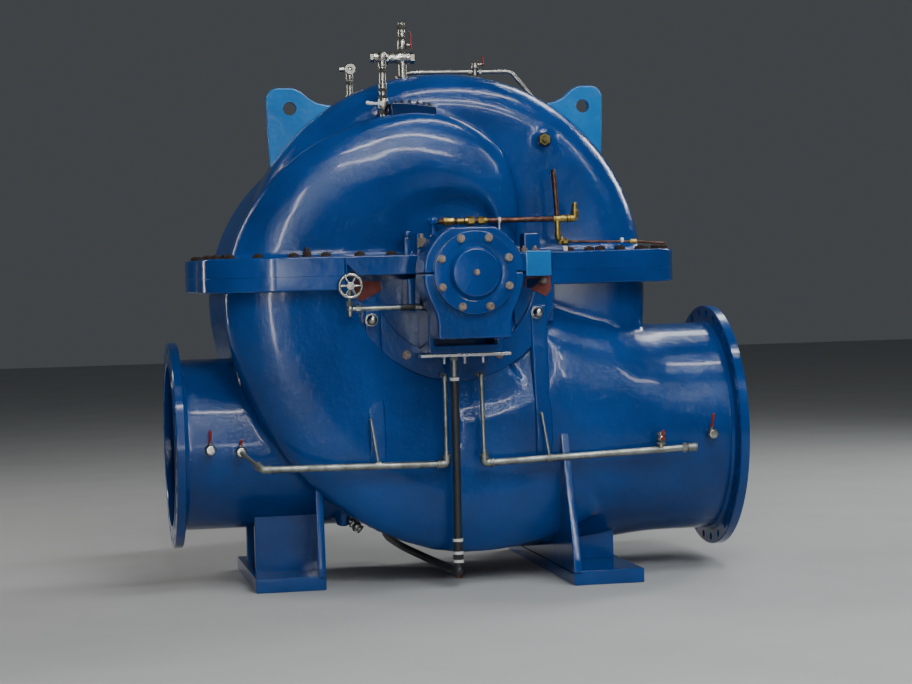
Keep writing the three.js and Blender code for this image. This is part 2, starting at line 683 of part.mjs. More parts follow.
// Small ball valves: a body, a stem, and a lever that turns a quarter turn on the stem
const COCK = { length: 66, radius: 13, ball: 20, stem: 34, lever: 58 };

function cockBody(base, out, stem) {
  const along = new THREE.Vector3(...out).normalize();
  const foot = new THREE.Vector3(...base).addScaledVector(along, -8);
  const up = new THREE.Vector3(...stem).normalize();
  const middle = foot.clone().addScaledVector(along, COCK.length * 0.55 + 8);
  const end = foot.clone().addScaledVector(along, COCK.length + 8);
  const stemEnd = middle.clone().addScaledVector(up, COCK.stem);
  return join([
    rod(foot.toArray(), end.toArray(), COCK.radius, 8), ball(middle.toArray(), COCK.ball),
    rod(middle.toArray(), stemEnd.toArray(), 6, 6),
  ]);
}

function cockLever(base, out, stem, handle) {
  const up = new THREE.Vector3(...stem).normalize();
  const along = new THREE.Vector3(...out).normalize();
  const middle = new THREE.Vector3(...base).addScaledVector(along, COCK.length * 0.55);
  const hub = middle.clone().addScaledVector(up, COCK.stem + GAP);
  const top = hub.clone().addScaledVector(up, 10);
  const grip = hub.clone().addScaledVector(up, 5);
  const tip = grip.clone().addScaledVector(new THREE.Vector3(...handle).normalize(), COCK.lever);
  return join([rod(hub.toArray(), top.toArray(), 11, 8), rod(grip.toArray(), tip.toArray(), 5, 6)]);
}

const parts = [];
function add(name, solid, colour, roughness, metalness) {
  const material = new THREE.MeshStandardMaterial({ color: colour, roughness, metalness });
  const mesh = new THREE.Mesh(geometryOf(solid), material);
  mesh.name = name;
  parts.push(mesh);
}

// Every small valve with its lever at rest: where it stands, and the ways its body, stem and lever point
const FORWARD = [0, -1, 0];
const UP = [0, 0, 1];
const OBLIQUE = [0.72, -0.3, -0.62];
const COCKS = {
  discharge_sample_cock: { base: [-1212, -421.5, -762], out: FORWARD, stem: UP, handle: FORWARD },
  discharge_drain_cock: {
    base: [DISCHARGE_DRAIN.x, -426, DISCHARGE_DRAIN.z], out: FORWARD, stem: UP, handle: [0.3, -1, 0],
  },
  casing_drain_cock: { base: [-515, -262.5, -1216.5], out: OBLIQUE, stem: [0.62, 0, 0.72], handle: OBLIQUE },
  suction_drain_cock: { base: [985, -600, -874.5], out: UP, stem: FORWARD, handle: UP },
  suction_gauge_cock: { base: [1258, -530.2, -760], out: FORWARD, stem: UP, handle: FORWARD },
};

// Air vents on top of the volute and of each suction chamber
const VENT = { x: -328, y: 350, base: 760, top: 1092, radius: 15 };
const TOP_VENT = { x: -153, neck: 960, body: 1063, pipeTop: 1268, radius: 13 };
const NECK_RADIUS = 24;

function chamberVent(side) {
  const x = side < 0 ? VENT.x : VENT.x - 82;
  const y = side * VENT.y;
  const base = VENT.base;
  const raw = join([
    rod([x, y, base - 30], [x, y, VENT.top - 26], VENT.radius, 8),
    rod([x, y, base - 30], [x, y, base + 38], 26, 6),
    rod([x, y, base + 45], [x, y, base + 103], 27, 8),
    rod([x, y, base + 130], [x, y, base + 168], 24, 6),
    rod([x, y, VENT.top - 96], [x, y, VENT.top - 70], 23, 6),
    ball([x, y, VENT.top - 26], 30),
    rod([x, y, VENT.top - 26], [x - 52, y, VENT.top - 26], 19, 6),
    rod([x, y, base + 74], [x, y - 44, base + 74], 8, 6),
  ]);
  return seated(raw, casingHigh, [0, 0, 1]);
}

function chamberVentLever(side) {
  const x = side < 0 ? VENT.x : VENT.x - 82;
  const y = side * VENT.y - 44 - GAP;
  const z = VENT.base + 74;
  return join([
    rod([x, y, z], [x, y - 10, z], 12, 8),
    box([x - 76, y - 8, z - 8], [x, y - 3, z + 8]),
    rod([x - 70, y - 5.5, z], [x - 92, y - 5.5, z + 6], 8, 8),
  ]);
}

function topVent() {
  const { x, neck, body: z, pipeTop, radius } = TOP_VENT;
  const raw = join([
    rod([x, 0, neck - 20], [x, 0, z], NECK_RADIUS, 10),
    rod([x, 0, neck - 20], [x, 0, neck + 36], 44, 10),
    rod([x - 84, 0, z], [x + 52, 0, z], 25, 8),
    rod([x - 96, 0, z], [x - 70, 0, z], 33, 6),
    rod([x + 38, 0, z], [x + 62, 0, z], 31, 6),
    rod([x, 0, z], [x, 0, pipeTop], radius, 8),
    rod([x, 0, z + 22], [x, 0, z + 54], 24, 6),
    rod([x, 0, z + 66], [x, 0, z + 118], 24, 8),
    rod([x, 0, z + 92], [x + 40, 0, z + 92], 8, 6),
    rod([x, 0, pipeTop - 46], [x, 0, pipeTop - 14], 20, 6),
  ]);
  return seated(raw, casingHigh, [0, 0, 1]);
}

function topVentLever() {
  const x = TOP_VENT.x + 40 + GAP;
  const z = TOP_VENT.body + 92;
  return join([
    rod([x, 0, z], [x + 10, 0, z], 12, 8),
    rod([x + 5, 0, z], [x + 5, 0, z + 88], 5, 6),
    rod([x + 5, 0, z + 84], [x + 5, 0, z + 92], 9, 8),
  ]);
}

const BALANCE = { y: 64, z: 1034, radius: 8, valve: 240 };

function balancePipe() {
  const { y, z, radius, valve } = BALANCE;
  const route = [[TOP_VENT.x, y, z - 10], [-90, y, z], [436, y, z], [536, y, 905], [568, y, 836]];
  const raw = pipeRun(route, radius, [
    rod([valve, y, z - 34], [valve, y, z + 60], 14, 8),
    rod([valve, y, z + 26], [valve + 30, y, z + 26], 6, 6),
    ...[-30, 120, 360].map((x) => sleeve([x, y, z], [1, 0, 0], 26, 12)),
    rod([TOP_VENT.x, y, z - 10], [TOP_VENT.x, 0, z - 10], radius, 6), ball([TOP_VENT.x, y, z - 10], 11, 6),
  ]);
  const neck = rod([TOP_VENT.x, 0, 0], [TOP_VENT.x, 0, FAR], NECK_RADIUS + 1.2 * GAP, 10);
  return seated(largest(cut(raw, [neck])), casingHigh, [0, 0, 1]);
}

function balanceLever() {
  const { y, z, valve } = BALANCE;
  const x = valve + 30 + GAP;
  return join([
    rod([x, y, z + 26], [x + 10, y, z + 26], 10, 8),
    box([x + 3, y - 6, z + 26], [x + 8, y + 6, z + 84]),
  ]);
}

// Brass and copper pipe that brings sealing water from the volute to the stuffing box
const SEAL_PIPE = {
  y: 505, z: 257, radius: 9, left: -86, tee: 498, right: 585, run: 410, runZ: PARTING_THICKNESS + 15,
};

function sealPipe(side) {
  const { z, radius, left, tee, right, run, runZ } = SEAL_PIPE;
  const y = side * SEAL_PIPE.y;
  const wall = side * (CHAMBER_WALL + 1.5 * GAP);
  const volute = side * (VOLUTE_HALF_WIDTH + 1.5 * GAP);
  const flange = side * run;
  const fittings = [
    sleeve([left + 26, y, z], [1, 0, 0], 54, 19), sleeve([left + 84, y, z], [1, 0, 0], 30, 14),
    sleeve([left + 138, y, z], [1, 0, 0], 46, 20), sleeve([left + 192, y, z], [1, 0, 0], 40, 18),
    sleeve([right - 46, y, z + 2], [1, 0, 0], 52, 16),
  ];
  const level = [[left, wall, z], [left, y, z], [right, y, z + 2], [right, y, z + 62]];
  const drop = [
    [tee - 12, volute, 476], [tee - 12, y, 476], [tee, y, z + 1], [tee, y, 150], [tee + 28, flange, runZ],
    [1042, flange, runZ], [1080, flange, runZ - 8],
  ];
  return join([
    pipeRun(level, radius, side < 0 ? fittings : []),
    pipeRun(drop, radius, [
      sleeve([tee, y, 196], [0, 0, 1], 70, 14), sleeve([tee + 62, flange, runZ], [1, 0, 0], 44, 14.4),
      sleeve([860, flange, runZ], [1, 0, 0], 24, 14.4),
    ]),
  ]);
}

// Needle valve beside the front stuffing box, worked by a small handwheel
const NEEDLE = { x: -541, y: 612, z: -160, wheelZ: -50, wheelRadius: 54, pipeY: 600 };

function needleValve(side) {
  const { x, z, wheelZ, pipeY } = NEEDLE;
  const y = side * NEEDLE.y;
  return join([
    pipeRun([[-BRACKET.halfWidth - 2 * GAP, side * pipeY, z], [x, y, z]], 11),
    sleeve([-300, side * (pipeY + 4), z], [1, 0, 0], 80, 15),
    rod([x, y, z - 34], [x, y, wheelZ + 18], 9, 6),
    ball([x, y, z], 18, 6),
    ball([x, y, wheelZ], 17, 6),
    rod([x, y, wheelZ], [x, y + side * 40, wheelZ], 8, 6),
  ]);
}

function handwheel(side) {
  const { x, wheelZ, wheelRadius } = NEEDLE;
  const ring = new THREE.TorusGeometry(wheelRadius, 7, 5, 14);
  ring.rotateX(Math.PI / 2);
  const y = side * (NEEDLE.y + 50);
  ring.translate(x, y, wheelZ);
  const spokes = [0, 60, 120].map((angle) => {
    const [c, s] = [Math.cos(angle * degrees) * wheelRadius, Math.sin(angle * degrees) * wheelRadius];
    return rod([x - c, y, wheelZ - s], [x + c, y, wheelZ + s], 4.5, 4);
  });
  const hub = rod([x, side * (NEEDLE.y + 40 + GAP), wheelZ], [x, side * (NEEDLE.y + 62), wheelZ], 15, 10);
  return join([solidOf(ring), hub, ...spokes]);
}

function volutePlug() {
  const { x, z, face } = PLUG;
  return join([
    rod([x, -face - GAP, z], [x, -face - 12, z], 23, 6),
    rod([x, -face - 10, z], [x, -face - 26, z], 12, 4),
  ]);
}

// Grease and oil caps on the bearing caps
function oilCup(side) {
  const y = side * 800;
  const z = 162;
  return join([
    rod([-162, y, z + 20.6], [-162, y, z + 76], 9, 8),
    rod([-162, y, z + 70], [-162, y, z + 104], 24, 12, 20),
  ]);
}

const FINISH = {
  paint: [0x0b3f9e, 0.3, 0.1],
  steel: [0x9a9a98, 0.35, 0.9],
  stainless: [0xb9bcc0, 0.25, 1],
  galvanised: [0xa8a696, 0.5, 0.3],
  brass: [0xb08d3c, 0.35, 1],
  copper: [0x8a5238, 0.45, 1],
  chrome: [0xc4c6c8, 0.15, 1],
  rubber: [0x16171a, 0.55, 0],
  lever: [0x8c1c16, 0.45, 0],
};

const casingLow = lowerCasing();
const casingHigh = upperCasing();
const casingRoom = withRoom(casingLow);
const [dischargeSideFlange, suctionSideFlange] = lowerFlanges(casingLow);

add("lower_casing", casingLow, ...FINISH.paint);
add("upper_casing", casingHigh, ...FINISH.paint);
add("upper_parting_flange", upperFlange(casingHigh), ...FINISH.paint);
add("lower_discharge_side_flange", dischargeSideFlange, ...FINISH.paint);
add("lower_suction_side_flange", suctionSideFlange, ...FINISH.paint);
add("discharge_flange", nozzleFlange(DISCHARGE, -DISCHARGE_REACH, -1), ...FINISH.paint);
add("suction_flange", nozzleFlange(SUCTION, SUCTION_REACH, 1), ...FINISH.paint);
add("discharge_foot", foot(DISCHARGE_FOOT, casingRoom), ...FINISH.paint);
add("suction_foot", foot(SUCTION_FOOT, casingRoom), ...FINISH.paint);
add("shaft", shaft(), ...FINISH.steel);
[["front", -1], ["rear", 1]].forEach(([end, side]) => {
  add(`${end}_stuffing_box`, stuffingBox(side), ...FINISH.paint);
  add(`${end}_bearing_bracket`, bracket(side), ...FINISH.paint);
  add(`${end}_bearing_cap`, bearingCap(side), ...FINISH.paint);
  add(`${end}_end_cover`, endCover(side, side > 0), ...FINISH.paint);
  add(`${end}_gland`, gland(side), ...FINISH.steel);
  add(`${end}_drip_tray`, dripTray(side), ...FINISH.stainless);
  add(`${end}_discharge_side_drain`, dischargeSideDrain(side), ...FINISH.galvanised);
  add(`${end}_suction_side_drain`, suctionSideDrain(side), ...FINISH.galvanised);
});
add("needle_valve", needleValve(-1), ...FINISH.galvanised);
add("needle_valve_handwheel", handwheel(-1), ...FINISH.chrome);
["front", "rear"].forEach((end, i) => {
  const side = i === 0 ? -1 : 1;
  add(`${end}_seal_water_pipe`, sealPipe(side), ...FINISH.copper);
  add(`${end}_chamber_vent`, chamberVent(side), ...FINISH.chrome);
  add(`${end}_vent_lever`, chamberVentLever(side), ...FINISH.chrome);
  add(`${end}_oil_cup`, oilCup(side), ...FINISH.paint);
});
add("top_vent", topVent(), ...FINISH.chrome);
add("top_vent_lever", topVentLever(), ...FINISH.lever);
add("balance_pipe", balancePipe(), ...FINISH.steel);
add("balance_lever", balanceLever(), ...FINISH.lever);
add("volute_plug", volutePlug(), ...FINISH.brass);
const dischargeNeck = nozzleNeck(DISCHARGE, -DISCHARGE_REACH, -1);
const suctionNeck = nozzleNeck(SUCTION, SUCTION_REACH, 1);
add("discharge_neck", dischargeNeck, ...FINISH.paint);
add("suction_neck", suctionNeck, ...FINISH.paint);
const carriers = {
  suction_drain_cock: suctionSideDrain(-1),
  discharge_sample_cock: dischargeNeck,
  suction_gauge_cock: suctionNeck,
};
Object.entries(COCKS).forEach(([name, { base, out, stem, handle }]) => {
  const on = carriers[name] ?? casingLow;
  add(name, seated(cockBody(base, out, stem), on, out), ...FINISH.chrome);
  add(`${name}_lever`, cockLever(base, out, stem, handle), ...FINISH.lever);
});
add("front_drain_hose", frontHose(), ...FINISH.rubber);
add("rear_drain_hose", rearHose(), ...FINISH.rubber);
add("drain_tee", drainTee(), ...FINISH.rubber);

const pump = new THREE.Group();
const middleX = (SUCTION_REACH - DISCHARGE_REACH) / 2;
const middleY = (DRIVE_END - COVER.plugFront) / 2;
pump.position.set(-middleX, -middleY, SHAFT_HEIGHT);
pump.add(...parts);
export default pump;
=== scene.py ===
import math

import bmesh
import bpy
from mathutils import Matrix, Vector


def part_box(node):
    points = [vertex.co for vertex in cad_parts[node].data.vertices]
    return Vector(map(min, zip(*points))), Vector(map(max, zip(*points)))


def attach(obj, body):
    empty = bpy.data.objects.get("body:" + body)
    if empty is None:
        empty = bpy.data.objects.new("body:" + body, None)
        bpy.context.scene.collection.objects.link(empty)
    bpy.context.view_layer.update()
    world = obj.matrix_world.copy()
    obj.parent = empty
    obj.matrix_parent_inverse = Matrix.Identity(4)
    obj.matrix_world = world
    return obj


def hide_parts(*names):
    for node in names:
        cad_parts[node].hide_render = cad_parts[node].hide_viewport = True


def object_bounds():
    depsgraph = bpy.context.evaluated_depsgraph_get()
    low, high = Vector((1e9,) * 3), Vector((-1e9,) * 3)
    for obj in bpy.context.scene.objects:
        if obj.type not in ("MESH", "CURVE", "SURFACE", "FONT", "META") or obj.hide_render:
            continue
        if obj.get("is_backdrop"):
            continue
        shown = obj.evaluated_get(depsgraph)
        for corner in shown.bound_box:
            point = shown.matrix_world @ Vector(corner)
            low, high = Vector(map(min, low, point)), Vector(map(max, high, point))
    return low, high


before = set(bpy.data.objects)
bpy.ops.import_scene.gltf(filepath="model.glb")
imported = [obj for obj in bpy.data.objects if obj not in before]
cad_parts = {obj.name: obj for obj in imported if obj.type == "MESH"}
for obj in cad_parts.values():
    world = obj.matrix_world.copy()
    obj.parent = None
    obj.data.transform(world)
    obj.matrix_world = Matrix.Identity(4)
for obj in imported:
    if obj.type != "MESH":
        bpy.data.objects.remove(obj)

# %% [markdown]
# # A large split-case pump
#
# The pump stands on two cast feet. Its casing is a spiral volute squeezed between two spiral suction
# chambers, cut in two at the height of the shaft and bolted together along a thick parting flange.
# The frame that was just loaded gives the size and place of every piece. Here each piece is made again
# with its castings rounded, its bolts in place and its real finish, in its place in the frame. Only
# three cocks and the vent on top stand a few centimetres off it, where the photograph shows them.
#
# All shapes below are drawn in millimetres round the middle of the shaft, because that is how such a
# machine is dimensioned. One matrix at the end of each piece takes them to their place in metres.

cad_low, cad_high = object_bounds()
shaft_low, shaft_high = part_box("shaft")
casing_low, casing_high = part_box("lower_casing")
CENTRE = Vector((
    (shaft_low.x + shaft_high.x) / 2,
    (casing_low.y + casing_high.y) / 2,
    (shaft_low.z + shaft_high.z) / 2,
))
TO_PLACE = Matrix.Translation(CENTRE) @ Matrix.Scale(0.001, 4)
MAIN_BODY = "pump"
print("shaft centre", [round(c, 3) for c in CENTRE], "nodes", len(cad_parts))

# %% [markdown]
# ## Writing a finish as sums
#
# A finish is a tree of nodes, and a tree is hard to read as code. So one small class stands for a value
# that varies over the surface, and adds a Math node for each sum, difference or product. A second class
# holds the material and makes every other node in one way: its type, its settings, its inputs. Numbers
# that don't vary are worked out in Python and set on the shader itself.

# %% A value in a finish
class Value:
    def __init__(self, finish, socket):
        self.finish = finish
        self.socket = socket

    def _with(self, operation, first, second):
        return self.finish.node("ShaderNodeMath", {"operation": operation}, {0: first, 1: second})

    def __add__(self, other):
        return self._with("ADD", self, other)

    def __radd__(self, other):
        return self._with("ADD", other, self)

    def __rsub__(self, other):
        return self._with("SUBTRACT", other, self)

    def __mul__(self, other):
        return self._with("MULTIPLY", self, other)

    def __rmul__(self, other):
        return self._with("MULTIPLY", other, self)


print("a value takes part in", [name for name in vars(Value) if name.startswith("__r")])

# %% A finish and its one way of adding a node
def find_socket(sockets, key):
    if isinstance(key, int):
        return sockets[key]
    named = [s for s in sockets if s.identifier == key] or [s for s in sockets if s.name == key]
    return named[0]


class Finish:
    def __init__(self, name, **constants):
        self.material = bpy.data.materials.new(name)
        self.material.use_nodes = True
        self.tree = self.material.node_tree
        self.shader = self.tree.nodes["Principled BSDF"]
        self.place = self.node("ShaderNodeTexCoord", out="Object")
        for socket, value in constants.items():
            self.shader.inputs[socket.replace("_", " ")].default_value = value

    def node(self, kind, settings=None, inputs=None, out=0):
        made = self.tree.nodes.new(kind)
        for name, value in (settings or {}).items():
            if name == "stops":
                self.set_stops(made.color_ramp.elements, value)
            else:
                setattr(made, name, value)
        for key, value in (inputs or {}).items():
            self.feed(find_socket(made.inputs, key), value)
        return Value(self, find_socket(made.outputs, out))

    def set_stops(self, elements, stops):
        while len(elements) < len(stops):
            elements.new(0.5)
        for element, (position, shade) in zip(elements, stops):
            element.position = position
            element.color = (shade, shade, shade, 1)

    def feed(self, socket, value):
        if isinstance(value, Value):
            self.tree.links.new(value.socket, socket)
        else:
            socket.default_value = value

    def speckle(self, scale, detail=3.0, roughness=0.55, place=None):
        return self.node("ShaderNodeTexNoise", None, {
            "Vector": place or self.place, "Scale": scale, "Detail": detail, "Roughness": roughness,
        })

    def stretched(self, scale):
        return self.node("ShaderNodeMapping", None, {"Vector": self.place, "Scale": scale})

    def steep(self, value, start, end):
        return self.node("ShaderNodeValToRGB", {"stops": [(start, 0.0), (end, 1.0)]}, {"Fac": value})

    def blend(self, factor, first, second):
        inputs = {"Factor_Float": factor, "A_Color": first, "B_Color": second}
        return self.node("ShaderNodeMix", {"data_type": "RGBA"}, inputs, "Result_Color")

    def facing_up(self):
        normal = self.node("ShaderNodeNewGeometry", out="Normal")
        return self.node("ShaderNodeSeparateXYZ", None, {"Vector": normal}, "Z")

    def wear(self, socket, value):
        self.feed(self.shader.inputs[socket], value)

    def bumps(self, height, distance):
        inputs = {"Height": height, "Distance": distance, "Strength": 1.0}
        self.wear("Normal", self.node("ShaderNodeBump", None, inputs))


def colour(red, green, blue):
    """A colour measured in the usual 0 to 255 steps, as the shader's own linear numbers."""
    steps = [c / 255 for c in (red, green, blue)]
    return (*[c / 12.92 if c <= 0.04045 else ((c + 0.055) / 1.055) ** 2.4 for c in steps], 1.0)


print("linear mid blue", [round(c, 3) for c in colour(31, 78, 137)])

# %% [markdown]
# ## Blue enamel
#
# The whole machine is sprayed in a glossy cobalt enamel. On sand castings the paint follows the rough
# skin, so a lamp breaks up in it into many small glints, while the turned covers and flanges reflect
# more smoothly. A mirror-smooth paint would look like plastic, so two sizes of noise raise the surface.
# Dust lies thinly on what faces up, and handling has left duller patches.

# %% Four enamels: for castings, for smoother pieces, a darker copy that paints shade into recesses and a paler copy that paints light onto the lugs and end blocks
DEEP_BLUE = colour(0, 48, 106)
LIGHT_BLUE = colour(0, 64, 134)
DUST = colour(74, 96, 116)
GRIME = colour(8, 22, 40)


def enamel(name, skin, waves, deep=DEEP_BLUE, light=LIGHT_BLUE):
    paint = Finish(name, IOR=1.38, Coat_Weight=0.3, Coat_Roughness=0.09, Coat_IOR=1.5)
    patches = paint.speckle(2.6, 4.0)
    fine = paint.speckle(34.0, 5.0, 0.65)
    peel = paint.speckle(150.0, 2.0, 0.6)
    swell = paint.speckle(11.0, 2.0)
    base = paint.blend(paint.steep(patches, 0.3, 0.7), deep, light)
    stained = paint.blend(paint.steep(fine, 0.6, 0.82) * 0.35, base, GRIME)
    dust = paint.steep(paint.facing_up(), 0.72, 0.99) * paint.steep(patches, 0.32, 0.75) * 0.2
    paint.wear("Base Color", paint.blend(dust, stained, DUST))
    paint.wear("Roughness", 0.08 + 0.12 * patches + 0.4 * dust)
    paint.bumps(peel * skin + fine * (skin * 0.9) + swell * waves, 0.001)
    return paint.material


CAST_ENAMEL = enamel("cast_blue_enamel", 1.1, 4.5)
SMOOTH_ENAMEL = enamel("smooth_blue_enamel", 0.4, 2.0)
# Painted shade: the same enamel made darker, for recesses and pieces that lie in shadow.
SHADE_ENAMEL = enamel("painted_shade_blue_enamel", 0.4, 2.0, colour(0, 26, 64), colour(0, 34, 80))
# Painted light: the same enamel made paler, for the lugs and end blocks that face the front lamps.
LIT_ENAMEL = enamel("painted_light_blue_enamel", 0.5, 3.0, colour(26, 98, 164), colour(48, 122, 190))
print("enamels", CAST_ENAMEL.name, SMOOTH_ENAMEL.name, SHADE_ENAMEL.name, LIT_ENAMEL.name)

# %% [markdown]
# ## Metals
#
# The fastenings were never painted: they are turned steel gone brown-grey, with some still bright. The
# valves are plated, the drains are dull zinc pipe, the sealing water pipe is darkened copper with brass
# fittings and the drip tray is brushed stainless sheet. One recipe covers them: a metal whose colour and
# roughness wander between two states, with fine scratches or grain as bump.

# %% A metal that wanders between two states
SCRATCH_DEPTH = 0.0002


def metal(name, bright, dull, gloss, grain, scale=24.0, stretch=None):
    surface = Finish(name, Metallic=1.0)
    place = surface.stretched(stretch) if stretch else surface.place
    tarnish = surface.steep(surface.speckle(scale, 5.0, 0.6), 0.34, 0.68)
    scratches = surface.speckle(grain, 2.0, 0.5, place)
    surface.wear("Base Color", surface.blend(tarnish, bright, dull))
    surface.wear("Roughness", gloss[0] + (gloss[1] - gloss[0]) * tarnish)
    surface.bumps(scratches, SCRATCH_DEPTH)
    return surface.material


TURNED_STEEL = metal("turned_steel", colour(178, 176, 170), colour(116, 110, 100), (0.25, 0.5), 400.0)
BRUSHED = metal(
    "brushed_stainless", colour(205, 206, 208), colour(168, 168, 170), (0.24, 0.4), 300.0,
    stretch=(1.0, 14.0, 14.0),
)
PLATED = metal("plated_valve", colour(206, 204, 196), colour(138, 132, 118), (0.18, 0.42), 160.0)
AGED_BRASS = metal("aged_brass", colour(126, 116, 72), colour(72, 66, 42), (0.4, 0.6), 220.0)
BRASS = metal("brass_fitting", colour(196, 170, 96), colour(128, 108, 56), (0.26, 0.5), 220.0)
COPPER = metal("darkened_copper", colour(118, 84, 72), colour(62, 46, 42), (0.36, 0.6), 260.0)
ZINC = metal("dull_zinc_pipe", colour(176, 178, 170), colour(120, 122, 116), (0.36, 0.58), 180.0, 16.0)
print("metals", TURNED_STEEL.name, BRUSHED.name, PLATED.name, BRASS.name, COPPER.name, ZINC.name)

# %% [markdown]
# Rust isn't a metal to light: it is a dull brown crust. So the old bolts mix two states that differ in
# colour, in metalness and in roughness, and the crust also stands up a little.

# %% Old bolts
def rusty(name, steel, rust, share):
    surface = Finish(name)
    crust = surface.steep(surface.speckle(48.0, 6.0, 0.7), share - 0.12, share + 0.12)
    surface.wear("Base Color", surface.blend(crust, steel, rust))
    surface.wear("Metallic", 0.85 - 0.8 * crust)
    surface.wear("Roughness", 0.38 + 0.4 * crust)
    surface.bumps(crust + surface.speckle(220.0), 0.0004)
    return surface.material


OLD_BOLT = rusty("old_bolt_steel", colour(150, 142, 134), colour(104, 82, 66), 0.5)
RUSTY_BOLT = rusty("rusty_bolt", colour(74, 60, 52), colour(50, 34, 28), 0.4)
print("old steel", OLD_BOLT.name, RUSTY_BOLT.name)

# %% [markdown]
# The rest is not metal: red primer where a pocket was left unpainted, red dipped lever grips, black
# rubber hose and white plastic clips. Each is a base colour that drifts a little, with its own grain.

# %% Coatings, rubber and plastic
def coating(name, light, dark, gloss, grain, depth):
    surface = Finish(name)
    drift = surface.steep(surface.speckle(20.0, 5.0, 0.6), 0.25, 0.75)
    surface.wear("Base Color", surface.blend(drift, light, dark))
    surface.wear("Roughness", gloss + 0.15 * drift)
    surface.bumps(surface.speckle(grain, 3.0), depth)
    return surface.material


RED_PRIMER = coating("red_primer", colour(132, 52, 40), colour(82, 32, 28), 0.6, 120.0, 0.0015)
RED_GRIP = coating("red_lever_grip", colour(150, 34, 26), colour(98, 20, 18), 0.35, 160.0, 0.0003)
RUBBER = coating("black_rubber_hose", colour(22, 23, 26), colour(44, 44, 46), 0.42, 200.0, 0.0004)
WHITE_PLASTIC = coating("white_plastic", colour(226, 226, 220), colour(184, 186, 182), 0.4, 90.0, 0.0003)
print("coatings", RED_PRIMER.name, RED_GRIP.name, RUBBER.name, WHITE_PLASTIC.name)

# %% [markdown]
# ## Making shapes
#
# Nearly everything on a pump is turned, drilled or cut from plate, so a few kinds of shape are enough:
# a block with broken edges, a drum between two points, a profile spun on a lathe, a plate cut to an
# outline, and a skin laid through sections for the castings and pipes. Each gives a closed bmesh of its
# own, and joined() puts several into one piece.

# %% Blocks, drums and broken edges
def soften(mesh, edges, width, rounds=2):
    """Breaks these edges, as a file or the paint does on the real piece."""
    if width > 0:
        bmesh.ops.bevel(
            mesh, geom=list(edges), offset=width, segments=rounds, profile=0.5, affect="EDGES",
            material=-1, clamp_overlap=True,
        )
    return mesh


def corners(mesh, least=25):
    """The edges where the surface turns by at least so many degrees."""
    return [e for e in mesh.edges if e.is_manifold and e.calc_face_angle(0) > math.radians(least)]


def block(low, high, edge=3.0):
    mesh = bmesh.new()
    low, high = Vector(low), Vector(high)
    place = Matrix.Translation((low + high) / 2) @ Matrix.Diagonal((*(high - low), 1))
    bmesh.ops.create_cube(mesh, size=1, matrix=place)
    return soften(mesh, mesh.edges, edge)


def aimed(start, end):
    """The matrix that lays a shape drawn along Z on the line from start to end."""
    along = Vector(end) - Vector(start)
    turn = along.to_track_quat("Z", "Y").to_matrix().to_4x4()
    return Matrix.Translation(Vector(start)) @ turn, along.length


def drum(start, end, radius, sides=24, edge=0.0, end_radius=None):
    mesh = bmesh.new()
    place, length = aimed(start, end)
    bmesh.ops.create_cone(
        mesh, cap_ends=True, segments=sides, radius1=radius, depth=length,
        radius2=radius if end_radius is None else end_radius,
        matrix=place @ Matrix.Translation((0, 0, length / 2)),
    )
    rims = {e for f in mesh.faces if len(f.verts) == sides for e in f.edges}
    return soften(mesh, rims, edge)


def shifted(point, way, distance):
    return Vector(point) + Vector(way).normalized() * distance


def rods(foot, way, rows):
    """Drums along a line. Each row gives one's start and end from the foot, radius, sides and edge."""
    return [drum(shifted(foot, way, start), shifted(foot, way, end), *rest) for start, end, *rest in rows]


def joined(parts):
    whole = bmesh.new()
    spare = bpy.data.meshes.new("spare")
    for part in parts:
        part.to_mesh(spare)
        part.free()
        whole.from_mesh(spare)
    bpy.data.meshes.remove(spare)
    return whole


print("a block has", len(block((0, 0, 0), (1, 1, 1), 0.1).faces), "faces with its edges broken")

# %% [markdown]
# A lathe and a flat saw make the next two: a profile of radius and height is spun once round, and an
# outline is filled and pulled out into a plate. A ball is the same lathe with half a circle.

# %% Turned pieces and plates
def turned(profile, start, end, sides=32):
    """The profile, pairs of radius and height, spun round the line from start towards end."""
    mesh = bmesh.new()
    points = [mesh.verts.new((radius, 0, height)) for radius, height in profile]
    lines = [mesh.edges.new(pair) for pair in zip(points, points[1:])]
    bmesh.ops.spin(
        mesh, geom=points + lines, cent=(0, 0, 0), axis=(0, 0, 1), angle=2 * math.pi, steps=sides,
        use_merge=True,
    )
    bmesh.ops.remove_doubles(mesh, verts=mesh.verts, dist=0.01)
    bmesh.ops.recalc_face_normals(mesh, faces=mesh.faces)
    bmesh.ops.transform(mesh, matrix=aimed(start, end)[0], verts=mesh.verts)
    return mesh


def ball(centre, radius, sides=16):
    mesh = bmesh.new()
    place = Matrix.Translation(centre)
    bmesh.ops.create_uvsphere(mesh, u_segments=sides, v_segments=sides // 2, radius=radius, matrix=place)
    return mesh


ACROSS, INWARD, UP = (1, 0, 0), (0, 1, 0), (0, 0, 1)
PLATE_AXES = {
    "x": Matrix(((0, 0, 1), (1, 0, 0), (0, 1, 0))).to_4x4(),
    "y": Matrix(((1, 0, 0), (0, 0, 1), (0, 1, 0))).to_4x4(),
    "z": Matrix.Identity(4),
}


def plate(outline, axis, start, end, edge=3.0, rounds=2):
    """A plate cut to an outline, with its thickness from start to end along an axis."""
    mesh = bmesh.new()
    face = mesh.faces.new([mesh.verts.new((a, b, start)) for a, b in outline])
    pulled = bmesh.ops.extrude_face_region(mesh, geom=[face])["geom"]
    moved = [v for v in pulled if isinstance(v, bmesh.types.BMVert)]
    bmesh.ops.translate(mesh, vec=(0, 0, end - start), verts=moved)
    bmesh.ops.transform(mesh, matrix=PLATE_AXES[axis], verts=mesh.verts)
    bmesh.ops.recalc_face_normals(mesh, faces=mesh.faces)
    return soften(mesh, corners(mesh), edge, rounds)


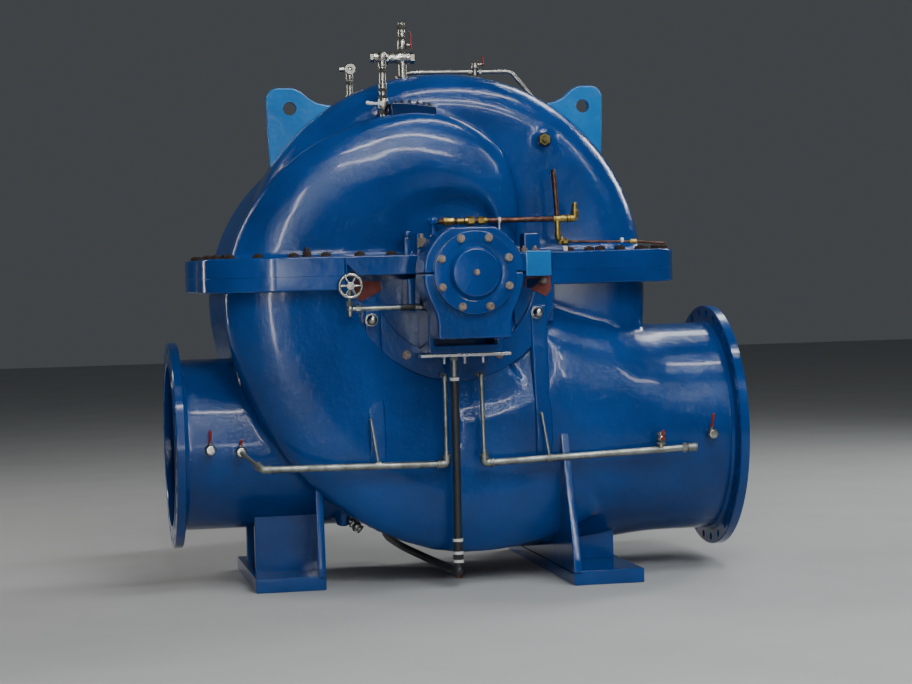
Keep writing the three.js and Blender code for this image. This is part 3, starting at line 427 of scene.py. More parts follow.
def arc(centre, radius, first, last, steps):
    """Points along an arc, between two angles in degrees."""
    angles = [math.radians(first + (last - first) * i / steps) for i in range(steps + 1)]
    return [(centre[0] + radius * math.cos(a), centre[1] + radius * math.sin(a)) for a in angles]


def along_shaft(side, outline, near, far, edge=3.0):
    """A plate drawn in the plane of the front view, from one distance to another along the shaft."""
    return plate(outline, "y", side * near, side * far, edge)


print("a three-cornered plate has", len(plate([(0, 0), (9, 0), (9, 9)], "z", 0, 3, 0.2).faces), "faces")

# %% [markdown]
# Castings and pipes have no simple outline. They are laid as a skin through a row of closed sections:
# a flat grid is bent so that each of its rows becomes one section, its long seam is merged and its two
# open ends are filled. For a pipe the sections are circles that follow the line without twisting.

# %% Skins through sections, and pipes
def skinned(sections):
    around, along = len(sections[0]), len(sections) - 1
    mesh = bmesh.new()
    bmesh.ops.create_grid(mesh, x_segments=around, y_segments=along, size=1)
    for point in mesh.verts:
        column = round((point.co.x + 1) / 2 * around) % around
        row = round((point.co.y + 1) / 2 * along)
        point.co = sections[row][column]
    bmesh.ops.remove_doubles(mesh, verts=mesh.verts, dist=0.01)
    bmesh.ops.holes_fill(mesh, edges=[e for e in mesh.edges if e.is_boundary], sides=0)
    bmesh.ops.recalc_face_normals(mesh, faces=mesh.faces)
    return mesh


BEND_STEPS = 5


def eased(points, bend):
    """The same line with each corner taken round a bend."""
    points = [Vector(p) for p in points]
    line = [points[0]]
    for before, corner, after in zip(points, points[1:], points[2:]):
        reach = min(bend, (corner - before).length * 0.45, (after - corner).length * 0.45)
        enter = corner + (before - corner).normalized() * reach
        leave = corner + (after - corner).normalized() * reach
        for t in (i / BEND_STEPS for i in range(BEND_STEPS + 1)):
            line.append(enter.lerp(corner, t).lerp(corner.lerp(leave, t), t))
    return [*line, points[-1]]


def pipe(points, radius, bend=0.0, sides=16):
    line = eased(points, bend) if bend else [Vector(p) for p in points]
    heading = (line[1] - line[0]).normalized()
    across = heading.orthogonal().normalized()
    sections = []
    for i, point in enumerate(line):
        ahead = (line[min(i + 1, len(line) - 1)] - line[max(i - 1, 0)]).normalized()
        across = heading.rotation_difference(ahead) @ across
        heading = ahead
        over = heading.cross(across).normalized()
        turns = [2 * math.pi * k / sides for k in range(sides)]
        sections.append([point + radius * (across * math.cos(a) + over * math.sin(a)) for a in turns])
    return skinned(sections)


print("a bent pipe has", len(pipe([(0, 0, 0), (100, 0, 0), (100, 100, 0)], 8, 20).faces), "faces")

# %% [markdown]
# ## Melting shapes together and cutting them
#
# A casting has no seams: its branches run into each other in rounded fillets. Joining them by hand would
# take a day, so the rough shapes are sunk into each other, remeshed as one skin of small even cells, and
# smoothed until the corners between them are fillets. Machined faces are cut afterwards, so that they
# stay sharp, as on the real casting.

# %% Melting and cutting
def modified(mesh, settings):
    """The mesh after a row of modifiers, each given as its kind and its settings."""
    data = bpy.data.meshes.new("work")
    mesh.to_mesh(data)
    mesh.free()
    work = bpy.data.objects.new("work", data)
    bpy.context.collection.objects.link(work)
    for kind, values in settings:
        modifier = work.modifiers.new(kind.lower(), kind)
        for name, value in values.items():
            setattr(modifier, name, value)
    bpy.context.view_layer.update()
    result = bmesh.new()
    result.from_object(work, bpy.context.evaluated_depsgraph_get())
    bpy.data.objects.remove(work)
    bpy.data.meshes.remove(data)
    return result


CELL = 13.0
FILLET_ROUNDS = 14


def melted(parts):
    return modified(joined(parts), [
        ("REMESH", {"mode": "VOXEL", "voxel_size": CELL}),
        ("SMOOTH", {"factor": 0.5, "iterations": FILLET_ROUNDS}),
    ])


def carved(mesh, tools):
    """The mesh with closed tools cut away, which must not touch each other."""
    data = bpy.data.meshes.new("tools")
    whole = joined(tools)
    whole.to_mesh(data)
    whole.free()
    cutter = bpy.data.objects.new("tools", data)
    bpy.context.collection.objects.link(cutter)
    values = {"operation": "DIFFERENCE", "solver": "MANIFOLD", "object": cutter}
    result = modified(mesh, [("BOOLEAN", values)])
    bpy.data.objects.remove(cutter)
    bpy.data.meshes.remove(data)
    return result


test_cut = carved(block((0, 0, 0), (10, 10, 10), 0), [block((5, 5, 5), (20, 20, 20), 0)])
print("a cube with its corner cut out has", len(test_cut.faces), "faces")
print("and holds", round(test_cut.calc_volume()), "of its 1000 parts")
test_cut.free()

# %% [markdown]
# Every finished piece goes through one door: it is moved to its place, gets its finish, rides on its
# body of the frame, stands for its nodes there, and has its flat faces kept flat in the light. The pump
# is nearly the same in front and behind, so two more doors make a thing once for each side.

# %% Putting a finished piece in place
SHARP_TURN = math.radians(38)
SIDES = (-1, 1)
ENDS = {"front": -1, "rear": 1}
SLOTS = {
    "blue_paint": (CAST_ENAMEL, SMOOTH_ENAMEL, SHADE_ENAMEL, LIT_ENAMEL, RED_PRIMER),
    "ground_steel": (TURNED_STEEL, OLD_BOLT, RUSTY_BOLT),
    "stainless_steel": (BRUSHED, WHITE_PLASTIC),
    "copper_pipe": (COPPER, BRASS),
    "bright_valve": (PLATED,), "grey_pipe": (ZINC,), "brass_plug": (AGED_BRASS,),
    "black_rubber": (RUBBER,), "red_lever": (RED_GRIP,),
}
SLOT_OF = {finish.name: slot for slot, finishes in SLOTS.items() for finish in finishes}


def settle(name, mesh, finish, stands_for=(), body=MAIN_BODY, flat=True, slot=None):
    bmesh.ops.transform(mesh, matrix=TO_PLACE, verts=mesh.verts)
    data = bpy.data.meshes.new(name)
    mesh.to_mesh(data)
    mesh.free()
    data.materials.append(finish)
    data.shade_smooth()
    data.set_sharp_from_angle(angle=SHARP_TURN)
    piece = bpy.data.objects.new(name, data)
    bpy.context.collection.objects.link(piece)
    if flat:
        piece.modifiers.new("even_light", "WEIGHTED_NORMAL").keep_sharp = True
    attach(piece, body)
    if stands_for:
        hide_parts(*stands_for)
    slot or SLOT_OF[finish.name]
    print(name, "has", sum(len(p.vertices) - 2 for p in data.polygons), "triangles")


def settle_ends(*kinds):
    """Pieces in front, then behind. Each kind: a name, make(side), a finish and its node if it has one."""
    for end, side in ENDS.items():
        for name, make, finish, *node in kinds:
            settle(f"{end}_{name}", make(side), finish, [f"{end}_{plain}" for plain in node])


def settle_pair(name, make, finish, stands_for=()):
    """One piece of the parts that make(side) gives in front and behind."""
    settle(name, joined([part for side in SIDES for part in make(side)]), finish, stands_for)


print("finishes", len(SLOT_OF), "in", len(SLOTS), "slots")


# %% [markdown]
# ## The spiral casing
#
# The volute collects the water round the impeller and swells towards the discharge nozzle. Over the top
# it is nearly a circle, set off a little towards the suction side, and below the shaft it opens evenly.
# The suction chambers wrap round it in front and behind, each a spiral that grows from the shaft to the
# suction nozzle. A curve through a few measured radii gives each spiral.

# %% Driving dimensions of the casing
NOZZLE_DROP = 822
DISCHARGE = {"face": -1380, "bore": 400, "wall": 425, "flange": 510, "thickness": 48}
SUCTION = {"face": 1440, "bore": 500, "wall": 533, "flange": 617.5, "thickness": 50}
VOLUTE = {"half_width": 290, "round": 190, "hub_half": 215}
CHAMBER = {"wall": 433, "front": 560, "lower_front": 520, "crest": 430}
SHAFT_RADIUS = 70
BRACKET_OUTER = 520
SEAT_RADIUS = 340
SEAT_FUNNEL = 0.62
SEAT_DEPTH = 70
THROAT = NOZZLE_DROP + DISCHARGE["wall"]
ANGLE_STEP = 6


def curve_through(pairs):
    """A smooth curve through pairs of angle and value."""
    def value(angle):
        if angle <= pairs[0][0]:
            return pairs[0][1]
        if angle >= pairs[-1][0]:
            return pairs[-1][1]
        i = next(k for k, pair in enumerate(pairs) if angle < pair[0])
        t = (angle - pairs[i - 1][0]) / (pairs[i][0] - pairs[i - 1][0])
        near, far = pairs[i - 1][1], pairs[i][1]
        leaving = (far - pairs[max(i - 2, 0)][1]) / 2
        arriving = (pairs[min(i + 1, len(pairs) - 1)][1] - near) / 2
        bend = (3 * (far - near) - 2 * leaving - arriving) * t * t
        return near + leaving * t + bend + (2 * (near - far) + leaving + arriving) * t ** 3
    return value


def polar(radius, y, angle):
    return Vector((radius * math.cos(math.radians(angle)), y, radius * math.sin(math.radians(angle))))


volute_radius = curve_through([
    (-90, THROAT), (-60, 1178), (-30, 1109), (0, 1042), (30, 1028), (60, 1016), (90, 999), (120, 1003),
    (150, 1002), (180, 992), (210, 990),
])
print("volute radius at the top", round(volute_radius(90)), "and at the throat", THROAT)

# %% The volute
def volute():
    inner, half, bend, hub = SHAFT_RADIUS / 2, VOLUTE["half_width"], VOLUTE["round"], VOLUTE["hub_half"]
    sections = []
    for angle in range(-90, 211, ANGLE_STEP):
        reach = volute_radius(angle) - bend
        near = arc((reach, bend - half), bend, -90, 0, 8)
        far = arc((reach, half - bend), bend, 0, 90, 8)
        outline = [(inner, -hub), *near, *far, (inner, hub)]
        sections.append([polar(radius, y, angle) for radius, y in outline])
    return skinned(sections)


print("the volute is laid through", len(range(-90, 211, ANGLE_STEP)), "sections")

# %% The suction chambers
chamber_radius = curve_through([
    (0, 340), (28, 390), (52, 548), (65, 664), (95, 796), (120, 860), (142, 953), (163, 1056), (184, 1132),
    (205, 1170), (228, 1232), (250, 1310), (268, 1372), (300, 1400),
])
chamber_front = curve_through([
    (0, 455), (30, 470), (60, 490), (120, 520), (170, CHAMBER["front"]), (200, CHAMBER["front"]),
    (240, 540), (270, CHAMBER["lower_front"]), (300, CHAMBER["lower_front"]),
])
FULL_CREST_RADIUS = 1100
LEAST_CREST = 0.55
LARGEST_BEND = 300
BEND_SHARE, SEAT_SHARE = 0.38, 0.54
SQUARENESS = 0.9


def chamber_outline(radius, front):
    crest = CHAMBER["crest"] * (LEAST_CREST + (1 - LEAST_CREST) * min(1, radius / FULL_CREST_RADIUS))
    bend = min(LARGEST_BEND, radius * BEND_SHARE)
    foot = min(SEAT_RADIUS, radius * SEAT_SHARE)
    seat = -max(CHAMBER["wall"], front - SEAT_DEPTH)
    outline = [(SHAFT_RADIUS / 2, 0), (radius - 70, 0)]
    for turn in (math.radians(90 * i / 10) for i in range(11)):
        reach = radius - bend + bend * math.cos(turn) ** SQUARENESS
        outline.append((reach, -crest - (front - crest) * math.sin(turn) ** SQUARENESS))
    return [*outline, ((foot + radius - bend) / 2, 20 - front), (foot, seat),
            (foot * SEAT_FUNNEL, -CHAMBER["wall"]), (SHAFT_RADIUS / 2, -CHAMBER["wall"])]


def chamber(side):
    sections = []
    for angle in range(0, 301, ANGLE_STEP):
        outline = chamber_outline(chamber_radius(angle), chamber_front(angle))
        sections.append([polar(radius, -side * y, angle) for radius, y in outline])
    return skinned(sections)


print("chamber radius to the side", round(chamber_radius(180)), "and below", round(chamber_radius(270)))

# %% [markdown]
# The nozzles are round at their flanges and widen into the casing below the shaft. Each passage is a
# skin through oval sections. Between the few measured ones, smooth curves give enough sections for an
# even surface.

# %% The nozzle passages
OVAL_SIDES = 64
STATION_STEP = 40


def oval(x, half_width, top, bottom, power):
    points = []
    for turn in (2 * math.pi * i / OVAL_SIDES for i in range(OVAL_SIDES)):
        c, s = math.cos(turn), math.sin(turn)
        y = math.copysign(abs(c) ** (2 / power), c) * half_width
        z = math.copysign(abs(s) ** (2 / power), s) * (top - bottom) / 2
        points.append(Vector((x, y, (top + bottom) / 2 + z)))
    return points


def round_station(x, radius):
    return (x, radius, radius - NOZZLE_DROP, -radius - NOZZLE_DROP, 2.0)


def passage(stations):
    stations = sorted(stations)
    curves = [curve_through([(s[0], s[i]) for s in stations]) for i in range(1, 5)]
    first, last = stations[0][0], stations[-1][0]
    count = round((last - first) / STATION_STEP)
    places = [first + (last - first) * i / count for i in range(count + 1)]
    return skinned([oval(x, *[curve(x) for curve in curves]) for x in places])


def suction_passage():
    return passage([
        round_station(SUCTION["face"] - SUCTION["thickness"] + 8, SUCTION["wall"]),
        round_station(1090, SUCTION["wall"]),
        (950, 536, -262, -1364, 2.1), (800, 540, -215, -1380, 2.3), (650, 540, -190, -1392, 2.5),
        (500, 535, -150, -1398, 2.7), (300, 525, -110, -1398, 2.8), (0, 520, -100, -1374, 2.8),
    ])


def discharge_passage():
    return passage([
        round_station(DISCHARGE["face"] + DISCHARGE["thickness"] - 8, DISCHARGE["wall"]),
        round_station(-820, DISCHARGE["wall"]),
        (-500, 400, -390, -1248, 2.1), (-200, 350, -380, -1250, 2.3),
        (0, VOLUTE["half_width"], -380, -THROAT, 2.4),
    ])


print("the passages start", SUCTION["wall"], "and", DISCHARGE["wall"], "mm in radius")

# %% [markdown]
# The lower half is the volute and both chambers melted together with the two passages, and the upper
# half the same without the passages. Then the machined faces are cut: the parting at shaft height, the
# round recesses for the bearing brackets, and the bores of the nozzles.

# %% Casting the two halves
FAR = 3000
RECESS = {"lower": BRACKET_OUTER + 8, "upper": 225}
DISH = {"start": 433, "end": 600, "radius": BRACKET_OUTER + 8, "slope": 2.25}
PARTING_SINK = 20
POCKET_BACK = {"low": (300, 200, -260), "high": (500, 470, -12)}
DRAIN_BOSS = {"x": -550, "y": -235, "top": -1100, "bottom": -1242, "radius": 36}
PLUG_BOSS = {"x": 500, "z": 650, "radius": 30, "face": 312}
WATERWAY = {"discharge": (700, 300), "suction": (720, 380)}


def recesses(radius):
    return [drum((0, s * CHAMBER["wall"], 0), (0, s * FAR, 0), radius, 96) for s in SIDES]


def dishes():
    """The slopes that lead from the casing's flank down to the seat of each bearing bracket."""
    wide = DISH["radius"] + DISH["slope"] * (DISH["end"] - DISH["start"])
    return [drum((0, s * DISH["start"], 0), (0, s * DISH["end"], 0), DISH["radius"], 96, 0, wide)
            for s in SIDES]


def block_beside(side, low, high, edge=3.0):
    """A block whose depth along the shaft is drawn for the far side, on either side."""
    near, far = sorted((side * low[1], side * high[1]))
    return block((low[0], near, low[2]), (high[0], far, high[2]), edge)


def bore(nozzle, depth, throat):
    """The inside of a nozzle, narrowing towards its throat."""
    outward = math.copysign(1, nozzle["face"])
    radius = nozzle["bore"]
    profile = [(0, 0), (radius, 0), (radius, depth * 0.5), (radius * 0.93, depth * 0.75),
               (throat, depth), (0, depth + 60)]
    return turned(profile, (nozzle["face"] + outward * 50, 0, -NOZZLE_DROP), (0, 0, -NOZZLE_DROP), 72)


boss_x, boss_y = DRAIN_BOSS["x"], DRAIN_BOSS["y"]
lower = melted([
    volute(), chamber(-1), chamber(1), carved(suction_passage(), dishes()), discharge_passage(),
    *[block_beside(side, **POCKET_BACK) for side in SIDES],
    drum((boss_x, boss_y, DRAIN_BOSS["top"]), (boss_x, boss_y, DRAIN_BOSS["bottom"]),
         DRAIN_BOSS["radius"], 32, 4),
])
for tool in [*recesses(RECESS["lower"]), block((-FAR, -FAR, -PARTING_SINK), (FAR, FAR, FAR), 0)]:
    lower = carved(lower, [tool])
lower = carved(lower, [bore(DISCHARGE, *WATERWAY["discharge"]), bore(SUCTION, *WATERWAY["suction"])])
settle("lower_casing_cast", lower, CAST_ENAMEL, ["lower_casing", "suction_neck", "discharge_neck"],
       flat=False)

# %% [markdown]
# The halves meet in a thick flange, whose plan is measured once here because the casting runs into it
# with a fillet. A slab of the same plan, a little smaller, is melted into the upper half, and the plates
# themselves follow below.

# %% The plan of the parting flange
PARTING = {"upper": 94, "lower": 70, "gap": 0.5, "edge": 9, "root": (0.985, 0.96)}
SUCTION_SIDE = [(1158, 0), (1155, -250), (1148, -300), (1120, -350), (1080, -392), (1030, -418)]
BRIDGED = [(500, -430), (470, -550), (440, -580), (-550, -580)]
CUT_BACK = [(480, -430), (480, -403), (-566, -403)]
DISCHARGE_SIDE = [(-566, -640), (-884, -640), (-930, -636), (-1060, -613), (-1120, -592), (-1172, -563),
                  (-1212, -522), (-1236, -472), (-1246, -420), (-1232, -300), (-1170, -190), (-1110, -110),
                  (-1090, 0)]


def parting_outline(middle):
    front = [*SUCTION_SIDE, *middle, *DISCHARGE_SIDE]
    return [*front, *[(x, -y) for x, y in reversed(front[1:-1])]]


def root_outline():
    return [(x * PARTING["root"][0], y * PARTING["root"][1]) for x, y in parting_outline(BRIDGED)]


def outer_edges(mesh, height):
    """The corners of a plate that lie wholly in its face at this height."""
    return [e for e in corners(mesh) if all(abs(v.co.z - height) < 0.01 for v in e.verts)]


print("the parting flange is", -2 * min(y for x, y in DISCHARGE_SIDE), "mm deep")

# %% The upper half
boss_x, boss_z = PLUG_BOSS["x"], PLUG_BOSS["z"]
upper = melted([
    volute(), chamber(-1), chamber(1), plate(root_outline(), "z", 0, PARTING["upper"] - 2, 0),
    drum((boss_x, -200, boss_z), (boss_x, -PLUG_BOSS["face"], boss_z), PLUG_BOSS["radius"] + 14, 32),
])
for tool in [*recesses(RECESS["upper"]), block((-FAR, -FAR, -FAR), (FAR, FAR, PARTING_SINK), 0)]:
    upper = carved(upper, [tool])
settle("upper_casing_cast", upper, CAST_ENAMEL, ["upper_casing"], flat=False)

# %% [markdown]
# ## Nuts, bolts and studs
#
# A stud stands in the lower piece and its nut clamps the upper one, on a washer. The nut is a six-sided
# drum with broken corners, and the stud a thin drum above it, broken at its end too. So all three are
# rods along one line. Hundreds of faces would be wasted on a thing this small, so each has a few dozen.

# %% One stud with its nut, and one bolt head
def stud(at, way, size, reach=0.55):
    """A washer, a nut as wide as size, and the stud's end that stands out of it by reach of the size."""
    return rods(at, way, [
        (0, size * 0.1, size * 0.68, 16, 0.6),
        (size * 0.1, size * 0.62, size / math.sqrt(3), 6, size * 0.05),
        (size * 0.5, size * (0.62 + reach), size * 0.31, 10, size * 0.06),
    ])


def bolt(at, way, size):
    return rods(at, way, [
        (0, size * 0.12, size * 0.66, 16, 0.6),
        (size * 0.12, size * 0.6, size / math.sqrt(3), 6, size * 0.07),
    ])


def low_nut(at, size):
    """A wide flat nut on a vertical stud, with little of the stud above it."""
    return rods(at, UP, [
        (0, size * 0.12, size * 0.7, 20, 0.8),
        (size * 0.12, size * 0.42, size * 0.62, 6, size * 0.06),
        (size * 0.4, size * 0.52, size * 0.3, 12, size * 0.05),
    ])


def ring_points(radius, count, first):
    turns = [math.radians(first + 360 * i / count) for i in range(count)]
    return [(radius * math.cos(a), radius * math.sin(a)) for a in turns]


print("a stud with its nut has", sum(len(part.faces) for part in stud((0, 0, 0), UP, 30)), "faces")

# %% [markdown]
# ## Parting flange
#
# The edge of the flange runs as a band round the whole pump, 94 mm of it above the joint and 70 mm
# below. The upper plate also bridges the bearing brackets in front and behind, and is hollowed out over
# the glands. A block closes its right end, in a paler enamel that paints light onto it, and a square
# boss stands beside it.

# %% The flange plates
thick, gap, edge = PARTING["upper"], PARTING["gap"], PARTING["edge"]
lower_flange = plate(parting_outline(CUT_BACK), "z", -PARTING["lower"], -gap, 0)
lower_flange = soften(lower_flange, outer_edges(lower_flange, -PARTING["lower"]), edge, 3)
for tool in recesses(RECESS["lower"]):
    lower_flange = carved(lower_flange, [tool])
settle("lower_parting_plate", lower_flange, SMOOTH_ENAMEL,
       ["lower_discharge_side_flange", "lower_suction_side_flange"])

SEAL_ROOM = {"radius": 205, "start": 460}
CORNER_CUTS = [[(-545, -5), (-482, -5), (-545, 57)], [(475, -5), (475, 47), (427, -5)]]
CUT_DEPTH = (441, 700)
SQUARE_BOSS = ((342, -500, 60), (424, -400, 186))
END_BLOCK = ((331, 440, -27), (461, 583, 99))
upper_flange = plate(parting_outline(BRIDGED), "z", gap, thick, 0)
upper_flange = soften(upper_flange, outer_edges(upper_flange, thick), edge, 3)
for side in SIDES:
    room = drum((0, side * SEAL_ROOM["start"], 0), (0, side * FAR, 0), SEAL_ROOM["radius"], 64)
    cuts = [along_shaft(side, corner, *CUT_DEPTH, 0) for corner in CORNER_CUTS]
    upper_flange = carved(upper_flange, [room])
    upper_flange = carved(upper_flange, cuts)
settle("upper_parting_plate", joined([upper_flange, block(*SQUARE_BOSS, 10)]), SMOOTH_ENAMEL,
       ["upper_parting_flange"])
# The end blocks wear the paler enamel, as painted light.
settle_pair("bridge_end_blocks", lambda side: [block_beside(side, *END_BLOCK, 8)], LIT_ENAMEL)

# %% The studs along the parting
FRONT_STUDS = [
    (-1194, -400), (-1164, -492), (-1104, -548), (-970, -580), (-803, -596), (-649, -596), (-476, -535),
    (-321, -535), (592, -392), (700, -378), (756, -378), (858, -378), (961, -378), (1050, -350),
    (1108, -262), (-1150, -240), (1118, -130), (-1096, -130),
]
STUD_SIZE = 42
TALL_STUD = (-736, -590)


def parting_studs(side):
    studs = stud((TALL_STUD[0], side * TALL_STUD[1], thick), UP, 40, 0.5)
    for x, y in FRONT_STUDS:
        studs += low_nut((x, side * y, thick), STUD_SIZE)
    return studs


settle_pair("parting_studs", parting_studs, RUSTY_BOLT)

# %% [markdown]
# ## Lifting lugs
#
# Two plates stand on the rim of the volute in its middle plane, each with a hole for a shackle. The
# outline is cut from plate, the hole is bored, and the edges are broken so that they catch the light.

# %% The lugs
LUG = {"hole": 34, "half": 32, "rise": 104, "corner": 62, "root": 420}
LUGS = {-1: {"x": -734, "z": 840, "outer": 118}, 1: {"x": 770, "z": 835, "outer": 104}}
LUG_SHOULDER = [(56, 86), (78, 66), (104, 44), (140, 26), (190, 16), (250, 10)]


def lug(side):
    middle, height, outer = (LUGS[side][k] for k in ("x", "z", "outer"))
    shoulder = [(-reach, rise) for reach, rise in reversed(LUG_SHOULDER)]
    rounded = arc((outer - LUG["corner"], LUG["rise"] - LUG["corner"]), LUG["corner"], 90, 0, 10)
    outline = [(-250, -LUG["root"]), *shoulder, (-20, LUG["rise"]), *rounded,
               (outer - 4, -120), (outer - 22, -LUG["root"])]
    placed = [(middle + side * reach, height + rise) for reach, rise in outline]
    solid = plate(placed, "y", -LUG["half"], LUG["half"], 8, 3)
    hole = drum((middle, -100, height), (middle, 100, height), LUG["hole"], 32)
    return carved(solid, [hole])


# The lugs wear the paler enamel, as painted light on their faces turned to the front.
settle("lifting_lugs", joined([lug(-1), lug(1)]), LIT_ENAMEL, ["upper_casing"])

# %% [markdown]
# ## Nozzle flanges
#
# Each nozzle ends in a flat flange, turned on its face and rim, with a circle of holes. It is one
# profile spun round the nozzle's axis, with a small raised face and a fillet to the neck, and the holes
# are drilled through it in one cut.

# %% The two flanges
def nozzle_flange(nozzle, bolts, bolt_circle, hole):
    outward = math.copysign(1, nozzle["face"])
    at = (nozzle["face"], 0, -NOZZLE_DROP)
    inward = (nozzle["face"] - outward, 0, -NOZZLE_DROP)
    bore_radius, rim, neck, thickness = (nozzle[k] for k in ("bore", "flange", "wall", "thickness"))
    profile = [
        (bore_radius, 4), (bore_radius + 4, 0), (rim - 92, 0), (rim - 90, 3), (rim - 4, 3), (rim, 7),
        (rim, thickness - 4), (rim - 4, thickness), (neck + 22, thickness), (neck + 8, thickness + 6),
        (neck + 1, thickness + 20), (neck - 12, thickness + 24), (bore_radius, thickness + 24),
        (bore_radius, 4),
    ]
    ring = turned(profile, at, inward, 96)
    holes = []
    for across, up in ring_points(bolt_circle, bolts, 180 / bolts):
        start = (nozzle["face"] + outward * 20, across, up - NOZZLE_DROP)
        end = (nozzle["face"] - outward * (thickness + 20), across, up - NOZZLE_DROP)
        holes.append(drum(start, end, hole, 20))
    return carved(ring, holes)


FLANGES = {"discharge_flange": (DISCHARGE, 24, 475, 18), "suction_flange": (SUCTION, 28, 580, 19.5)}
for name, measures in FLANGES.items():
    settle(name + "_ring", nozzle_flange(*measures), SMOOTH_ENAMEL, [name])

# %% [markdown]
# ## Feet
#
# Under each nozzle a foot carries the pump: a thick sole plate, a web along the shaft and two cross webs
# under the casing. The webs run up into the casting, so they are drawn longer than what shows.

# %% The feet
GROUND = -1520
SOLE = 70
FEET = {
    "discharge_foot": {"left": -1015, "right": -672, "depth": 480, "web": -712, "top": -640,
                       "top_depth": 400, "cross": 215, "cross_top": -1150},
    "suction_foot": {"left": 490, "right": 840, "depth": 770, "web": 490, "top": -800,
                     "top_depth": 552, "cross": 260, "cross_top": -1180},
}
WEB = 40
CROSS_SET_IN = 25


def foot(left, right, depth, web, top, top_depth, cross, cross_top):
    sole_top = GROUND + SOLE
    side_view = [(-depth, sole_top - 20), (depth, sole_top - 20), (depth, sole_top + 60),
                 (top_depth, top), (-top_depth, top), (-depth, sole_top + 60)]
    parts = [
        block((left, -depth, GROUND), (right, depth, sole_top), 7),
        plate(side_view, "x", web, web + WEB, 7),
    ]
    for y in (-cross, cross):
        low = (left + CROSS_SET_IN, y - WEB / 2, sole_top - 20)
        parts.append(block(low, (right - CROSS_SET_IN, y + WEB / 2, cross_top), 6))
    return joined(parts)


for name, measures in FEET.items():
    settle(name + "_cast", foot(**measures), SMOOTH_ENAMEL, [name])

# %% [markdown]
# ## Ribs and bearing brackets
#
# Two raised ribs run down the chamber from each bracket and take the pull of the bearing. The bracket
# itself is a half ring bolted to the casing's end wall, an open trough under the gland, and the lower
# half of the bearing housing at its end.

# %% Ribs
RIB = {"x": 412, "half": 42}
RIB_VIEW = [(300, -165), (484, -165), (486, -340), (556, -800), (510, -985), (300, -985)]


def ribs(side):
    view = [(side * y, z) for y, z in RIB_VIEW]
    return [plate(view, "x", x - RIB["half"], x + RIB["half"], 12, 3) for x in (-RIB["x"], RIB["x"])]


settle_pair("casing_ribs", ribs, CAST_ENAMEL, ["lower_casing"])

# %% Brackets
BRACKET = {"inner": 405, "plate": 46, "half": 182, "wall": 32, "floor": 345, "sole": 385}
WING = [(222, -22), (256, -22), (256, -186), (222, -186)]
RING_CORNER = [(300, -41), (455, -139), (455, -255), (560, -255), (560, 50), (300, 50)]
HOUSING = {"back": 710, "front": 960, "half": 238}
HOUSING_SIDE = [(238, -1), (237, -40), (229, -80), (214, -122), (196, -158), (183, -190), (177, -225),
                (176, -310)]


def bracket(side):
    near = CHAMBER["wall"] + 0.3
    half, wall, floor, sole, inner = (BRACKET[k] for k in ("half", "wall", "floor", "sole", "inner"))
    half_ring = [*arc((0, -1), BRACKET_OUTER + 6, 180, 360, 48), *arc((0, -1), inner, 360, 180, 40)]
    trough = [(-half, -60), (-half, -sole), (half, -sole), (half, -60), (half - wall, -60),
              (half - wall, -floor), (wall - half, -floor), (wall - half, -60)]
    lower_edge = [(-half, -sole), (-half, -inner - 40), (half, -inner - 40), (half, -sole)]
    housing = [*[(-x, z) for x, z in HOUSING_SIDE], *reversed(HOUSING_SIDE)]
    ring = along_shaft(side, half_ring, near, near + BRACKET["plate"], 6)
    corners_off = [along_shaft(side, [(hand * x, z) for x, z in RING_CORNER], near - 9, near + 90, 0)
                   for hand in SIDES]
    wings = [along_shaft(side, [(hand * x, z) for x, z in WING], near, near + 165, 8) for hand in SIDES]
    return joined([
        carved(ring, corners_off), *wings,
        along_shaft(side, trough, near, HOUSING["back"] + 10, 6),
        along_shaft(side, lower_edge, near + 1, near + BRACKET["plate"] - 1, 6),
        along_shaft(side, housing, HOUSING["back"], HOUSING["front"], 13),
    ])


def bearing_cap(side):
    outline = [(HOUSING["half"], 1), *arc((0, 0), HOUSING["half"], 12, 64, 12),
               *arc((0, 0), HOUSING["half"], 116, 168, 12), (-HOUSING["half"], 1)]
    return along_shaft(side, outline, HOUSING["back"], HOUSING["front"], 12)


print("a bearing housing is", HOUSING["front"] - HOUSING["back"], "mm long")

# %% [markdown]
# The free end of the bearing is closed by a round cover with a raised boss and a small plug in its
# middle. At the drive end the shaft passes through a cover like it. Both are one lathe profile, with a
# groove round the boss, held by eight old bolts.

# %% Covers
COVER = {"radius": 196, "front": 1000, "boss": 119, "boss_front": 1028, "plug": 14, "bolt_circle": 172,
         "bolts": 8}


def end_cover(side):
    start, rim, boss = HOUSING["front"] + 0.3, COVER["radius"], COVER["boss"]
    height, boss_height = COVER["front"] - start, COVER["boss_front"] - start
    open_middle = side > 0
    middle = SHAFT_RADIUS + 1 if open_middle else 0
    profile = [
        (middle, 0), (rim - 3, 0), (rim, 3), (rim, height - 6), (rim - 2, height - 2), (rim - 7, height),
        (boss + 22, height), (boss + 16, height - 3), (boss + 8, height - 3), (boss, height + 4),
        (boss - 4, boss_height - 8), (boss - 8, boss_height - 3), (boss - 16, boss_height),
        (middle, boss_height),
    ]
    if open_middle:
        profile.append((middle, 0))
    return turned(profile, (0, side * start, 0), (0, side * COVER["boss_front"], 0), 72)


def cover_bolts(side):
    circle = ring_points(COVER["bolt_circle"], COVER["bolts"], 180 / COVER["bolts"])
    bolts = [bolt((x, side * COVER["front"], z), (0, side, 0), 30) for x, z in circle]
    return joined(sum(bolts, []))


